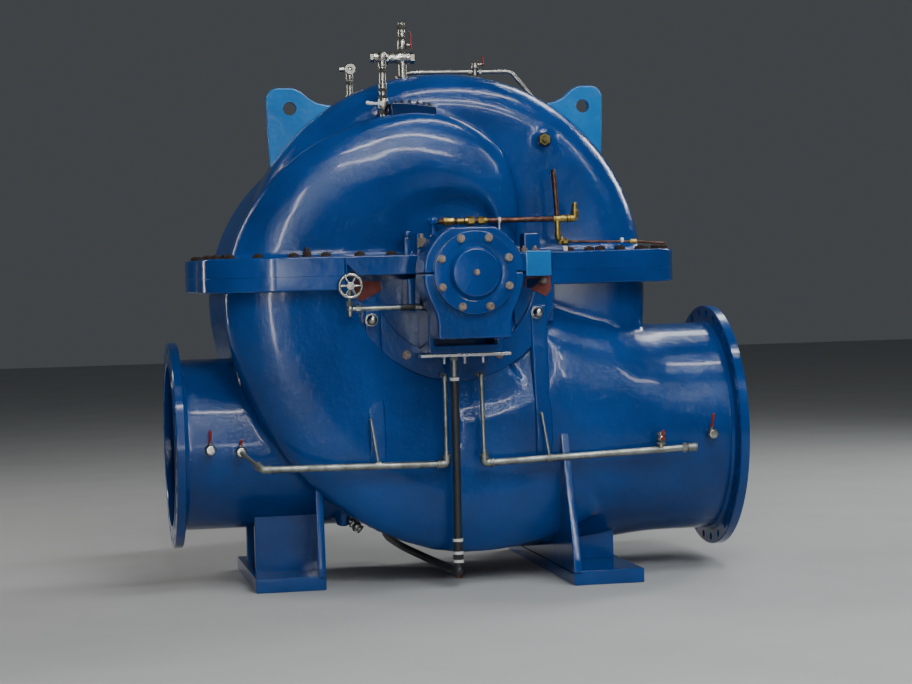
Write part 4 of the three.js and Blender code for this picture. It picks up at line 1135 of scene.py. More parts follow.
settle_ends(
    ("bracket_cast", bracket, CAST_ENAMEL, "bearing_bracket"),
    ("cap_cast", bearing_cap, CAST_ENAMEL, "bearing_cap"),
    ("cover_turned", end_cover, SMOOTH_ENAMEL, "end_cover"),
    ("cover_bolts", cover_bolts, OLD_BOLT),
)
plug = rods((0, -COVER["boss_front"], 0), (0, -1, 0), [(0, 5, 15, 20, 1.5), (4, COVER["plug"], 9, 6, 1.5)])
settle("front_cover_plug", joined(plug), OLD_BOLT, ["front_end_cover"])

# %% [markdown]
# Bolts hold the bracket ring to the casing. Four per end show in front: two bright cap nuts at the top
# of the ribs and two dull ones lower down.

# %% Bracket bolts
RING_FACE = CHAMBER["wall"] + BRACKET["plate"] + 0.3
RIB_FACE = 485
BRIGHT_BOLTS = [(-419, -218), (403, -205)]
LOWER_BOLTS = [(-250, -393), (211, -403)]


def cap_nuts(side):
    nuts = [ball((x, side * (RIB_FACE + 26), z), 26, 20) for x, z in BRIGHT_BOLTS]
    for x, z in BRIGHT_BOLTS:
        nuts += stud((x, side * RIB_FACE, z), (0, side, 0), 46, 0.2)
    return joined(nuts)


def ring_studs(side):
    studs = [stud((x, side * RING_FACE, z), (0, side, 0), 32) for x, z in LOWER_BOLTS]
    return joined(sum(studs, []))


settle_ends(("bracket_cap_nuts", cap_nuts, PLATED), ("bracket_studs", ring_studs, OLD_BOLT))

# %% [markdown]
# ## Shaft and seals
#
# The shaft is turned steel. It leaves the casing through a stuffing box, where a gland presses the
# packing, and carries a keyway at its drive end for the coupling.

# %% Stuffing boxes, glands and shaft
SEAL = {"bore": SHAFT_RADIUS + 1, "box": 145, "box_end": 500, "gland": 148, "gland_end": 538,
        "ears_inside": 120, "stud_x": 166}
EAR = [(-190, -30), (190, -30), (190, 30), (-190, 30)]
SHAFT = [(0, 0), (66, 0), (70, 4), (70, 2008), (64, 2014), (64, 2186), (60, 2190), (0, 2190)]
SHAFT_START = -940
KEY_SEAT = ((-16, 1110, 40), (16, 1300, 90))


def stuffing_box(side):
    opening, radius, length = SEAL["bore"], SEAL["box"], SEAL["box_end"] - CHAMBER["wall"]
    profile = [(opening, 0), (radius + 12, 0), (radius + 3, 4), (radius, 14), (radius, length - 4),
               (radius - 4, length), (opening, length), (opening, 0)]
    return turned(profile, (0, side * CHAMBER["wall"], 0), (0, side * FAR, 0), 64)


def gland(side):
    opening, radius, start = SEAL["bore"], SEAL["gland"], SEAL["box_end"] + 1
    depth, seat = SEAL["gland_end"] - start, SEAL["gland_end"] - 8
    profile = [(opening, 0), (radius - 3, 0), (radius, 3), (radius, depth - 4), (radius - 4, depth),
               (96, depth), (92, depth - 6), (opening, depth - 6), (opening, 0)]
    room = drum((0, side * (start - 100), 0), (0, side * (start + 100), 0), SEAL["ears_inside"], 48)
    parts = [turned(profile, (0, side * start, 0), (0, side * FAR, 0), 64),
             carved(along_shaft(side, EAR, start, seat, 5), [room])]
    for hand in SIDES:
        parts += stud((hand * SEAL["stud_x"], side * seat, 0), (0, side, 0), 30, 1.4)
    return joined(parts)


settle_ends(
    ("stuffing_box_cast", stuffing_box, CAST_ENAMEL, "stuffing_box"),
    ("gland_turned", gland, TURNED_STEEL, "gland"),
)
shaft = turned(SHAFT, (0, SHAFT_START, 0), (0, FAR, 0), 64)
settle("shaft_turned", carved(shaft, [block(*KEY_SEAT, 0)]), TURNED_STEEL, ["shaft"])

# %% [markdown]
# ## Drip tray
#
# Under each bracket hangs a narrow stainless bar with three pins, which leads drips to the hose below.

# %% Trays
TRAY = {"near": 632, "far": 718, "half": 220, "top": -386, "bottom": -401}
PIN = {"across": (-103, -3, 87), "y": 690, "top": -398, "rods": [(0, -37, 7, 12, 1.5), (0, -6, 12, 6, 1)]}


def tray(side):
    low, high = (-TRAY["half"], TRAY["near"], TRAY["bottom"]), (TRAY["half"], TRAY["far"], TRAY["top"])
    pins = [rods((x, side * PIN["y"], PIN["top"]), UP, PIN["rods"]) for x in PIN["across"]]
    return joined([block_beside(side, low, high, 2.5), *sum(pins, [])])


settle_ends(("tray_bent", tray, BRUSHED, "drip_tray"))

# %% [markdown]
# ## Drain pipes
#
# Water that leaks past the packing runs down thin risers and away through wider zinc pipes to both
# nozzles, with a thick socket at every joint. A pipe is a circle led along a line, and the fittings are
# short drums over its corners, with a bead at each end as cast fittings have. Where several sit in a
# row, a table gives for each its kind, the place of its middle along the row, its length and its radius.

# %% Sockets, elbows and clips
def about(centre, way, length):
    return shifted(centre, way, -length / 2), shifted(centre, way, length / 2)


def socket(centre, way, length, radius):
    """A cast socket with a bead at each end."""
    bead, waist, face = min(5, length / 5), radius * 0.88, radius * 0.94
    profile = [(0, 0), (face, 0), (radius, bead * 0.3), (radius, bead), (waist, bead * 1.4),
               (waist, length - bead * 1.4), (radius, length - bead), (radius, length - bead * 0.3),
               (face, length), (0, length)]
    return turned(profile, *about(centre, way, length), 20)


def hexagon(centre, way, length, radius):
    """A six-sided fitting with its corners turned off."""
    return drum(*about(centre, way, length), radius, 6, radius * 0.09)


def row(start, way, fittings):
    return [make(shifted(start, way, place), way, *sizes) for make, place, *sizes in fittings]


def elbow(before, corner, after, radius):
    """A cast elbow: two sockets and the bend between them."""
    reach = radius * 2.1
    ways = [Vector(place) - Vector(corner) for place in (before, after)]
    bend = [shifted(corner, ways[0], reach), corner, shifted(corner, ways[1], reach)]
    ends = [socket(shifted(corner, way, reach), way, radius * 1.1, radius * 1.42) for way in ways]
    return [pipe(bend, radius * 1.22, radius * 1.5), *ends]


def clip(centre, way, width, radius):
    """A band round a pipe."""
    inner, outer = radius - 1, radius + 2.5
    profile = [(inner, 0), (outer, 0), (outer, width), (inner, width), (inner, 0)]
    return turned(profile, *about(centre, way, width), 24)


print("a socket has", len(socket((0, 0, 0), UP, 40, 20).faces), "faces")

# %% Drains
DRAIN = {"y": 600, "radius": 17, "riser": 10, "top": -496}
HANGER = {"top": -695, "root": 541.5, "hook": 566, "radius": 6.5, "slant": 27}
RUNS = {
    "discharge": {"top": -88, "start": (-88, -921), "end": (-978, -913), "hung": (-420, -915)},
    "suction": {"top": 92, "start": (98, -924), "end": (1142, -888), "hung": (423, -914)},
}
INLET = (-1066, 499.7, -836)
RISING = (1, 0, 0.03)
LAST_NUT = (1104, -889)


def riser(side, top_x, x, z):
    y = side * DRAIN["y"]
    points = [(top_x, side * RING_FACE, DRAIN["top"]), (top_x, y, DRAIN["top"]), (x, y, z + 30)]
    return [pipe(points, DRAIN["riser"], 24), *elbow(*points, DRAIN["riser"]),
            socket((x, y, z + 42), UP, 38, DRAIN["riser"] + 5)]


def hanger(side, at_pipe):
    hook = (at_pipe[0] - HANGER["slant"], side * HANGER["hook"], HANGER["top"])
    rod = [(hook[0], side * HANGER["root"], HANGER["top"]), hook, at_pipe]
    return [pipe(rod, HANGER["radius"], 12, 10), clip(at_pipe, ACROSS, 24, DRAIN["radius"] + 1)]


def drain(side, nozzle):
    run, y, radius = RUNS[nozzle], side * DRAIN["y"], DRAIN["radius"]
    start, end, hung = [(x, y, z) for x, z in (run["start"], run["end"], run["hung"])]
    parts = [*riser(side, run["top"], *run["start"]), *elbow((start[0], y, 0), start, end, radius),
             pipe([start, end], radius), *hanger(side, hung)]
    if nozzle == "suction":
        nut = hexagon((LAST_NUT[0], y, LAST_NUT[1]), RISING, 22, 24)
        return joined([*parts, socket(end, RISING, 46, radius + 6), nut])
    inlet = (INLET[0], side * INLET[1], INLET[2])
    nut = socket(shifted(inlet, (-1, side, 0.8), -18), (-106, -side * 100, 88), 30, 15)
    return joined([*parts, *elbow(start, end, inlet, radius * 0.9), pipe([end, inlet], 9), nut])


settle_ends(
    ("discharge_side_pipe", lambda side: drain(side, "discharge"), ZINC, "discharge_side_drain"),
    ("suction_side_pipe", lambda side: drain(side, "suction"), ZINC, "suction_side_drain"),
)

# %% [markdown]
# ## Drain hoses
#
# A black hose drops from each bracket to a tee near the floor. The one in front hangs straight, and the
# one behind comes down the far side and passes under the casing. Each is held at both ends, so it is a
# pipe led along a smooth line, with a white clamp at its ends.

# %% Hoses and their clamps
HOSE = {"x": -42, "y": 612, "radius": 19, "top": -500, "bottom": -1300}


def smooth_line(points, steps):
    """A smooth curve through the points, from a curve through each of their coordinates."""
    curves = [curve_through([(i, p[axis]) for i, p in enumerate(points)]) for axis in range(3)]
    count = (len(points) - 1) * steps
    return [Vector([curve(i / steps) for curve in curves]) for i in range(count + 1)]


hose_x, hose_y, hose_r, tee_x = HOSE["x"], HOSE["y"], HOSE["radius"], HOSE["x"] - 3
front_line = smooth_line([(hose_x, -hose_y, HOSE["top"]), (hose_x, -hose_y - 2, -900),
                          (tee_x, -hose_y, HOSE["bottom"])], 10)
rear_line = smooth_line([
    (hose_x - 9, 47 - hose_y, -1445), (-90, -400, -1432), (-140, 0, -1424), (-185, 380, -1410),
    (-215, 590, -1370), (-215, 660, -1230), (-150, 655, -900), (-62, 645, -600),
    (hose_x, hose_y + 1, HOSE["top"] - 40), (hose_x, hose_y, HOSE["top"]),
], 6)
settle("front_hose_rubber", pipe(front_line, hose_r, 0, 20), RUBBER, ["front_drain_hose"])
settle("rear_hose_rubber", pipe(rear_line, hose_r, 0, 20), RUBBER, ["rear_drain_hose"])

clamps = [clip((hose_x, side * hose_y, HOSE["top"] - 12), UP, 16, hose_r + 2) for side in SIDES]
clamps += [clip((tee_x, -hose_y, z), UP, 14, hose_r + 4) for z in (HOSE["bottom"] + 10, -1352, -1392)]
settle("hose_clamps", joined(clamps), WHITE_PLASTIC)
settle_pair("hose_nipples", lambda side: [
    *rods((hose_x, side * hose_y, HOSE["top"]), UP, [(117, -6, 14, 20, 1)]),
    hexagon((hose_x, side * hose_y, HOSE["top"] + 88), UP, 20, 19),
], ZINC)

# %% The tee
tee_y, tee_z = -hose_y, -1440
tee = [
    *row((tee_x, tee_y, tee_z), UP, [(socket, 115, 48, 24), (hexagon, 68, 26, 27)]),
    *rods((tee_x, tee_y, tee_z), UP, [(100, 0, 19, 24, 2)]), ball((tee_x, tee_y, tee_z), 25, 20),
    pipe([(tee_x, tee_y, tee_z - 6), (tee_x - 6, tee_y + 45, tee_z - 5)], 14),
    socket((tee_x - 3, tee_y + 34, tee_z - 5), (-6, 45, 0), 22, 19),
]
settle("tee_body", joined(tee), RUBBER, ["drain_tee"])
settle("tee_cap", rods((tee_x, tee_y, tee_z), UP, [(-12, -33, 17, 20, 3)])[0], COPPER, ["drain_tee"])

# %% [markdown]
# ## Sealing water pipe
#
# A copper pipe takes water from the volute, drops to the parting flange and runs along it, and a branch
# crosses in front of the casing above the bearing. Its couplings, tee and elbows are brass. Pipe and
# fittings are two pieces, because they are two metals.

# %% Copper and brass
SEAL_PIPE = {"y": 505, "z": 250, "radius": 13, "left": -86, "tee": 512, "right": 600, "run": 410,
             "run_z": 140, "run_radius": 6}
COUPLINGS = [(socket, 54, 54, 22), (socket, 112, 30, 17), (socket, 144, 20, 20), (hexagon, 166, 30, 24),
             (hexagon, 214, 26, 22), (socket, 236, 18, 18)]


def seal_places(side):
    """The places along the pump, then those of the branch and of the run across it and up."""
    along = [SEAL_PIPE[k] for k in ("left", "tee", "right")]
    return *along, side * SEAL_PIPE["y"], SEAL_PIPE["z"], side * SEAL_PIPE["run"], SEAL_PIPE["run_z"]


def seal_lines(side):
    """The level branch, the drop to the flange and the run along it."""
    left, tee, right, y, z, run, run_z = seal_places(side)
    level = [(left, side * CHAMBER["wall"], z), (left, y, z), (right, y, z + 2), (right, y, z + 60)]
    drop = [(tee + 36, side * VOLUTE["half_width"], 493), (tee - 14, y, 484), (tee, y, z + 1),
            (tee, y, run_z + 18)]
    flat_run = [(tee + 8, y * 0.9 + run * 0.1, run_z + 6), (tee + 50, run, run_z), (940, run, run_z - 8),
                (1080, run, run_z - 20)]
    return level, drop, flat_run


def seal_copper(side):
    radii = (SEAL_PIPE["radius"], SEAL_PIPE["radius"] - 1, SEAL_PIPE["run_radius"])
    return joined([pipe(line, radius, 22) for line, radius in zip(seal_lines(side), radii)])


def seal_brass(side):
    level, drop, flat_run = seal_lines(side)
    left, tee, right, y, z, run, run_z = seal_places(side)
    return joined([
        *row((left, y, z), ACROSS, COUPLINGS), *elbow(*level[1:], 14.5),
        socket((right - 58, y, z + 2), ACROSS, 30, 20), socket((tee, y, z + 1), ACROSS, 44, 19),
        socket((tee, y, 208), UP, 76, 16), *elbow(drop[2], drop[3], flat_run[1], 12),
        socket((right, y, z + 56), UP, 34, 15), *rods((right, y, z), UP, [(60, 82, 13, 16, 0, 8)]),
        *row((tee, run, run_z), ACROSS, [(socket, 36, 26, 15), (hexagon, 58, 26, 17)]),
        socket((918, run, run_z - 7), ACROSS, 34, 13),
    ])


settle_ends(
    ("seal_water_copper", seal_copper, COPPER, "seal_water_pipe"),
    ("seal_water_brass", seal_brass, BRASS, "seal_water_pipe"),
)

# %% What holds the pipe
RUN_CLIPS = (560, 860)


def pipe_clips(side):
    y, run = side * SEAL_PIPE["y"], (side * SEAL_PIPE["run"], SEAL_PIPE["run_z"])
    return [
        clip((221, y, SEAL_PIPE["z"] + 1), ACROSS, 12, 13),
        block((218, y - 3, 190), (224, y + 3, SEAL_PIPE["z"]), 1),
        block_beside(side, (216, 470, 186), (226, SEAL_PIPE["y"], 196), 2),
        *[clip((x, *run), ACROSS, 14, 10) for x in RUN_CLIPS],
        *rods((-124, side * 552, 108), UP, [(0, 84, 7, 12, 2)]),
        block_beside(side, (528, 530, thick - 2), (550, 552, thick + 22), 4),
    ]


settle_pair("pipe_clips", pipe_clips, WHITE_PLASTIC)
settle_pair("pipe_rings", lambda side: [
    clip((350, side * SEAL_PIPE["y"], SEAL_PIPE["z"] + 1), ACROSS, 8, 13),
], RUBBER)

# %% [markdown]
# ## Needle valve with its handwheel
#
# A small valve in front of the gland is worked by a plated handwheel. The wheel is a ring led round a
# circle with six spokes and a hub. It rides on a body of its own, because it turns.

# %% Valve
NEEDLE = {"x": -541, "y": -612, "z": -160, "wheel_z": -50, "wheel": 54, "pipe_y": -600, "wheel_y": -662}
x, y, z, wheel_y, wheel_z = (NEEDLE[k] for k in ("x", "y", "z", "wheel_y", "wheel_z"))
valve = [
    pipe([(-183, NEEDLE["pipe_y"], z), (x, y, z)], 11), ball((x, y, z), 17), ball((x, y, wheel_z), 18),
    *rods((x, y, z), UP, [(-36, 14, 13, 20, 2), (0, wheel_z - z + 18, 9, 16, 1)]),
    *rods((x, y, wheel_z), INWARD, [(0, -34, 10, 16, 1)]),
    socket((-205, -600.5, z), ACROSS, 34, 17), hexagon((-500, y + 1, z), ACROSS, 26, 18),
    hexagon((x, y, z + 26), UP, 22, 18), hexagon((x, y - 22, wheel_z), INWARD, 14, 16),
]
settle("needle_valve_body", joined(valve), ZINC, ["needle_valve"])
thread = [clip((-226 - 8 * i, -601, z), ACROSS, 4, 13) for i in range(9)]
thread.append(pipe([(-222, -601, z), (-296, -603, z)], 13.5))
settle("needle_valve_thread", joined(thread), RUBBER, ["needle_valve"])

# %% Handwheel
RIM_TUBE = arc((0, 0), 8, 0, 360, 12)[:-1]
middle = Vector((x, wheel_y, wheel_z))
rim_sections = []
for a, b in arc((0, 0), 1, 0, 360, 48):
    outward = Vector((a, 0, b))
    centre = middle + outward * NEEDLE["wheel"]
    rim_sections.append([centre + outward * p + Vector((0, q, 0)) for p, q in RIM_TUBE])
wheel = [skinned(rim_sections), *rods(middle, INWARD, [(10, -14, 19, 24, 2)]),
         hexagon(shifted(middle, INWARD, -15), INWARD, 8, 9)]
for a, b in ring_points(NEEDLE["wheel"] - 4, 6, 0):
    wheel.append(drum(middle, middle + Vector((a, 0, b)), 6, 10, 0, 5))
settle("handwheel_plated", joined(wheel), PLATED, ["needle_valve_handwheel"],
       "needle_valve_handwheel_body")

# %% [markdown]
# ## Small valves
#
# Five cocks sit on the casing and pipes. Each body is one lathe profile, with a hexagon at both ends and
# a swelling where its ball sits, and a stem on its side. Its lever is a flat strip in a red dip, bent up
# from its hub where the photograph shows it so, and rides on a body of its own, because it turns. The
# hub stays on the frame's axis, on which the lever turns.

# %% Cocks and levers
COCK = {"ball": 36.3, "stem": 34, "bulk": 1.35}
COCK_PROFILE = [(0, -8), (13, -8), (13, 6), (15, 8), (15, 16), (12, 19), (17, 26), (20, 32), (20.5, 36),
                (20, 41), (17, 47), (12, 53), (12, 55), (15.5, 57), (15.5, 65), (14, 66), (9, 66), (9, 58),
                (0, 58)]
FORWARD, OBLIQUE = (0, -1, 0), (0.72, -0.3, -0.62)
COCKS = {
    "discharge_sample_cock": ((-1212, -421.5, -820), FORWARD, UP, (0, -0.4, 0.9), 64),
    "discharge_drain_cock": ((-1066, -426, -834), FORWARD, UP, (0.1, -0.8, 0.6), 36),
    "casing_drain_cock": ((-515, -262.5, -1216.5), OBLIQUE, (0.62, 0, 0.72), OBLIQUE, 58),
    "suction_drain_cock": ((985, -600, -874.5), UP, FORWARD, UP, 42),
    "suction_gauge_cock": ((1258, -530.2, -828), FORWARD, UP, (0, -0.4, 0.9), 70),
}


def cock_body(base, out, stem):
    middle, bulk = shifted(base, out, COCK["ball"]), COCK["bulk"]
    return joined([
        turned([(radius * bulk, at) for radius, at in COCK_PROFILE], base, shifted(base, out, 10), 24),
        *row(base, out, [(hexagon, 12, 12, 18 * bulk), (hexagon, 60, 10, 17 * bulk)]),
        *rods(middle, stem, [(0, COCK["stem"], 6, 14, 1)]), hexagon(shifted(middle, stem, 25), stem, 8, 11),
    ])


def lever(hub, up, along, length, width=13):
    """A strip that leaves a hub along its own line, with a thicker grip over its outer half."""
    hub, up, along = Vector(hub), Vector(up).normalized(), Vector(along).normalized()
    across = up.cross(along).normalized()
    arm = joined([block((0, -width / 2, 3), (length * 0.6, width / 2, 7), 1.2),
                  block((length * 0.42, -width * 0.62, 1), (length, width * 0.62, 9), 2.6)])
    boss = joined(rods((0, 0, 0), UP, [(4, 10, 8, 6, 0.8), (0, 5, 10, 20, 0.8)]))
    for made, ahead, above in ((arm, along, along.cross(across)), (boss, across.cross(up), up)):
        place = Matrix((ahead, across, above)).transposed().to_4x4()
        bmesh.ops.transform(made, matrix=Matrix.Translation(hub) @ place, verts=made.verts)
    return joined([arm, boss])


for name, (base, out, stem, handle, length) in COCKS.items():
    settle(name + "_body", cock_body(base, out, stem), PLATED, [name])
    hub = shifted(shifted(base, out, COCK["ball"]), stem, COCK["stem"] + 0.3)
    settle(name + "_handle", lever(hub, stem, handle, length), RED_GRIP, [name + "_lever"],
           name + "_lever_body")

# %% [markdown]
# ## Air vents
#
# Plated vents stand on the chambers and on top of the volute, where air collects. They are stacks of
# turned and six-sided fittings, so each is a table of those up one pipe. The front one's handle turns
# and rides on its own body, while the rear one's is fixed.

# %% Chamber vents
VENT = {"x": {-1: -312, 1: -374}, "hub": -16, "reach": 44.3, "y": 350, "base": 760, "valve": 74,
        "head": 306}
VENT_STACK = [(socket, 8, 60, 19), (hexagon, 34, 22, 24), (hexagon, 109, 14, 24), (hexagon, 142, 18, 25),
              (socket, 150, 44, 23), (hexagon, 236, 22, 23), (socket, 272, 30, 23)]
VENT_BODY = [(0, 45), (20, 45), (25, 52), (27, 64), (27, 84), (25, 96), (20, 103), (0, 103)]
VENT_RING = [(12, 0), (26, 0), (29, 4), (29, 14), (24, 18), (24, 34), (12, 34), (12, 0)]
VENT_KNOB = [(0, 0), (7, 0), (9, 3), (8, 12), (10, 26), (8, 34), (0, 36)]


def vent(side):
    x, y, base = VENT["x"][side], side * VENT["y"], VENT["base"]
    hub_x, hub_z, head = x + VENT["hub"], base + VENT["valve"], base + VENT["head"]
    parts = [
        *rods((x, y, base), UP, [(-40, VENT["head"], 17, 20)]), *row((x, y, base), UP, VENT_STACK),
        turned(VENT_BODY, (x, y, base), (x, y, head), 24), ball((x, y, head - 4), 29, 20),
        *rods((hub_x, y, hub_z), INWARD, [(0, -44, 8, 16, 1)]),
        hexagon((hub_x, y - 34, hub_z), INWARD, 12, 13),
    ]
    if side < 0:
        outlet = (x, y, head - 4)
        parts += [pipe([outlet, shifted(outlet, ACROSS, -58)], 20),
                  *row(outlet, ACROSS, [(socket, -34, 16, 26), (hexagon, -52, 16, 28)])]
    else:
        parts += [turned(VENT_RING, (x, y - 36, head), (x, y, head), 32),
                  pipe([(x, y, head), (x - 52, y, head)], 15)]
    return joined(parts)


def vent_handle(side):
    x, y, z = VENT["x"][side] + VENT["hub"], side * VENT["y"] - VENT["reach"], VENT["base"] + VENT["valve"]
    return joined([
        *rods((x, y, z), INWARD, [(0, -9, 11, 20, 1)]),
        block((x - 48, y - 8, z - 6), (x, y - 4, z + 6), 1.5),
        turned(VENT_KNOB, (x - 42, y - 6, z), (x - 78, y - 6, z + 4), 20),
    ])


VENT_BODIES = {"front": "front_vent_lever_body", "rear": MAIN_BODY}
for end, side in ENDS.items():
    settle(end + "_vent_fittings", vent(side), PLATED, [end + "_chamber_vent"])
    settle(end + "_vent_handle", vent_handle(side), WHITE_PLASTIC, [end + "_vent_lever"],
           VENT_BODIES[end], slot="bright_valve")

# %% The vent on the volute
TOP = {"x": -153, "body": 1090, "hub": 1155, "pipe_top": 1268}
x, z, hub, top = (TOP[k] for k in ("x", "body", "hub", "pipe_top"))
CROSS = [(0, 0), (22, 0), (22, 16), (25, 22), (25, 44), (30, 56), (30, 78), (25, 92), (25, 112), (22, 118),
         (22, 136), (0, 136)]
CROSS_FITTINGS = [(hexagon, -83, 24, 33), (socket, -56, 14, 31), (socket, 26, 14, 30),
                  (hexagon, 50, 22, 31)]
TOP_VALVE = [(0, -27), (18, -27), (24, -20), (25, 0), (24, 20), (18, 27), (0, 27)]
TOP_STACK = [(socket, -122, 56, 42), (hexagon, 34, 18, 26), (hexagon, 99, 14, 25), (socket, 121, 22, 22),
             (hexagon, 154, 26, 24), (socket, 172, 12, 20)]
fittings = [
    *rods((x, 0, z), UP, [(-190, 0, 22, 24), (0, top - z, 17, 20, 2)]),
    *row((x, 0, z), ACROSS, CROSS_FITTINGS), *row((x, 0, z), UP, TOP_STACK),
    turned(CROSS, (x - 84, 0, z), (x, 0, z), 28), turned(TOP_VALVE, (x, 0, hub), (x, 0, top), 24),
    *rods((x, 0, hub), ACROSS, [(0, 40, 7, 16, 1)]),
]
settle("top_vent_fittings", joined(fittings), PLATED, ["top_vent"])
hub_x = x + 40.3
wire = [(hub_x + 5, 0, hub - 20), (hub_x + 5, 0, hub + 54), (hub_x - 2, 0, hub + 70)]
handle = [pipe(wire, 4.5, 16, 12), *rods((hub_x, 0, hub), ACROSS, [(0, 10, 12, 20, 1)])]
settle("top_vent_handle", joined(handle), RED_GRIP, ["top_vent_lever"], "top_vent_lever_body")

# %% [markdown]
# ## Balance pipe
#
# A thin steel pipe runs over the top of the volute from the vent's neck, through a small valve, and down
# its far side.

# %% Pipe, valve and lever
BALANCE = {"y": 64, "z": 1022, "radius": 11, "valve": 232, "hub": (240, 64, 1060)}
BALANCE_FITTINGS = [(socket, -50, 24, 15), (socket, 96, 24, 15), (socket, 360, 24, 15),
                    (hexagon, 206, 14, 17), (hexagon, 258, 14, 17)]
y, z, valve_x, hub = (BALANCE[k] for k in ("y", "z", "valve", "hub"))
line = [(TOP["x"], 22, z - 10), (TOP["x"], y, z - 10), (-90, y, z), (420, y, z), (524, y, 896),
        (556, y, 842)]
parts = [
    pipe(line, BALANCE["radius"], 30, 14), *row((0, y, z), ACROSS, BALANCE_FITTINGS),
    *rods((valve_x, y, z), UP, [(-34, 60, 16, 20, 3)]),
    *row((valve_x, y, z), UP, [(hexagon, -26, 14, 19), (hexagon, 52, 14, 19)]),
    ball((valve_x, y, z + 22), 20), *rods(hub, ACROSS, [(0, 30, 5.5, 14, 1)]),
]
settle("balance_pipe_steel", joined(parts), TURNED_STEEL, ["balance_pipe"])
settle("balance_handle", lever(shifted(hub, ACROSS, 30.3), ACROSS, UP, 42, 16), RED_GRIP,
       ["balance_lever"], "balance_lever_body")

# %% [markdown]
# ## Small things in paint and brass
#
# A brass plug closes a boss on the volute. Capped oil cups stand on the bearings, a few blocks and caps
# beside the front bearing are painted with the rest, and red primer shows in the pocket behind the
# bracket.

# %% Plug and cups
x, z, face = PLUG_BOSS["x"], PLUG_BOSS["z"], -PLUG_BOSS["face"]
plug = [hexagon((x, face - 12, z), INWARD, 18, 31), *rods((x, face, z), INWARD, [(-18, -32, 16, 4, 2)])]
settle("volute_plug_brass", joined(plug), AGED_BRASS, ["volute_plug"])
# The seat round the plug wears the darker enamel: painted shade in the recess round it.
settle("volute_plug_seat", rods((x, face, z), INWARD, [(6, -5, 37, 28, 2)])[0], SHADE_ENAMEL)


def cup(x, y, z, height, cap):
    """An oil cup: a tube with a domed cap."""
    profile = [(0, 0), (cap - 5, 0), (cap - 4, 4), (9, 8), (9, height - 34), (cap - 3, height - 32),
               (cap, height - 28), (cap, height - 14), (cap - 3, height - 6), (cap * 0.55, height - 1),
               (0, height)]
    return turned(profile, (x, y, z), (x, y, z + 10), 28)


settle_ends(("oil_cup_cast", lambda side: cup(-162, side * 800, 180, 86, 24), SMOOTH_ENAMEL, "oil_cup"))

# %% The step on each crest
STEP = [(-285, 750), (-60, 740), (-60, 815), (-200, 834), (-285, 835)]
STEP_NUTS = {-262: 834, -228: 834, -190: 830.8, -150: 826, -118: 822.16, -92: 819.04}
# The step wears the darker enamel: painted shade for the shadow between the volute and the chamber.
settle_pair("crest_step", lambda side: [along_shaft(side, STEP, 330, 425, 6)], SHADE_ENAMEL)
settle_pair("crest_nuts", lambda side: [
    part for x, z in STEP_NUTS.items() for part in stud((x, side * 405, z), UP, 16, 0.4)
], RUSTY_BOLT)

# %% Blocks and studs on the bridge
BRIDGE_STUDS = [(-190, 545), (293, 540), (330, 560), (385, 552)]
DOME = (-176, 552)
DOME_RODS = [(0, 24, 17, 16, 2), (70, 100, 13, 16, 4)]


def bridge_blocks(side):
    return [
        block_beside(side, (-262, 520, thick - 6), (-228, 562, 176), 7),
        cup(-243, side * 541, 166, 46, 30), *rods((-190, side * 545, thick), UP, [(0, 102, 17, 20, 6)]),
    ]


def bridge_studs(side):
    studs = [part for x, y in BRIDGE_STUDS for part in stud((x, side * y, thick), UP, 30, 0.35)]
    foot = (DOME[0], side * DOME[1], thick)
    return [*studs, *rods(foot, UP, DOME_RODS), hexagon(shifted(foot, UP, 56), UP, 46, 25)]


settle_pair("bridge_blocks", bridge_blocks, SMOOTH_ENAMEL)
settle_pair("bridge_studs", bridge_studs, OLD_BOLT)

# %% The primed pocket
POCKET = [(358, -76), (364, -32), (485, -25), (488, -94), (462, -128)]
# A thin dark plate in the pocket is painted shade, where the recess lies in shadow.
POCKET_SHADE = [(364, -84), (366, -40), (430, -36), (420, -66), (392, -84)]


def pocket(side):
    outlines = [[(hand * x, z) for x, z in POCKET] for hand in SIDES]
    return [along_shaft(side, outline, CHAMBER["wall"] + 0.5, 437, 0.5) for outline in outlines]


settle_pair("primed_pocket", pocket, RED_PRIMER)
settle_pair("pocket_painted_shade", lambda side: [along_shaft(side, POCKET_SHADE, 436, 439, 0.5)], SHADE_ENAMEL)
settle_pair("pocket_cap_nuts", lambda side: [
    *stud((446, side * 438, -47), (0, side, 0), 30, 0.1), ball((446, side * 450, -47), 24),
], OLD_BOLT)

# %% [markdown]
# ## Floor, light and camera
#
# The floor is plain and pale. Two tilted rows of light and one over the roof draw the broken bands along
# the crests, a tall slit at the left gives the upright streak over the flange, strips beside and behind
# the pump line its rims, and a far window glints on the flank below the flange. The camera stands eleven
# metres in front of the pump, slightly to the left and as high as the shaft.

# %% Floor
ground = bpy.data.meshes.new("studio_floor")
sheet = bmesh.new()
bmesh.ops.create_grid(sheet, x_segments=1, y_segments=1, size=30)
sheet.to_mesh(ground)
sheet.free()
floor = bpy.data.objects.new("studio_floor", ground)
bpy.context.collection.objects.link(floor)
paving = Finish("pale_floor")
cloud = paving.speckle(1.4, 4.0)
paving.wear("Base Color", paving.blend(cloud, colour(184, 184, 182), colour(168, 168, 167)))
paving.wear("Roughness", 0.6 + 0.2 * cloud)
ground.materials.append(paving.material)
floor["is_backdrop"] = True
print("floor of", paving.material.name)

# %% Lamps
def lamp(name, place, target, size, power, shade, tilt=0):
    data = bpy.data.lights.new(name, "AREA")
    data.shape = "RECTANGLE"
    data.size, data.size_y = size
    data.energy = power
    data.color = shade
    light = bpy.data.objects.new(name, data)
    light.location = place
    facing = (Vector(target) - Vector(place)).to_track_quat("-Z", "Y").to_matrix()
    light.rotation_euler = (facing @ Matrix.Rotation(math.radians(tilt), 3, "Z")).to_euler()
    bpy.context.collection.objects.link(light)


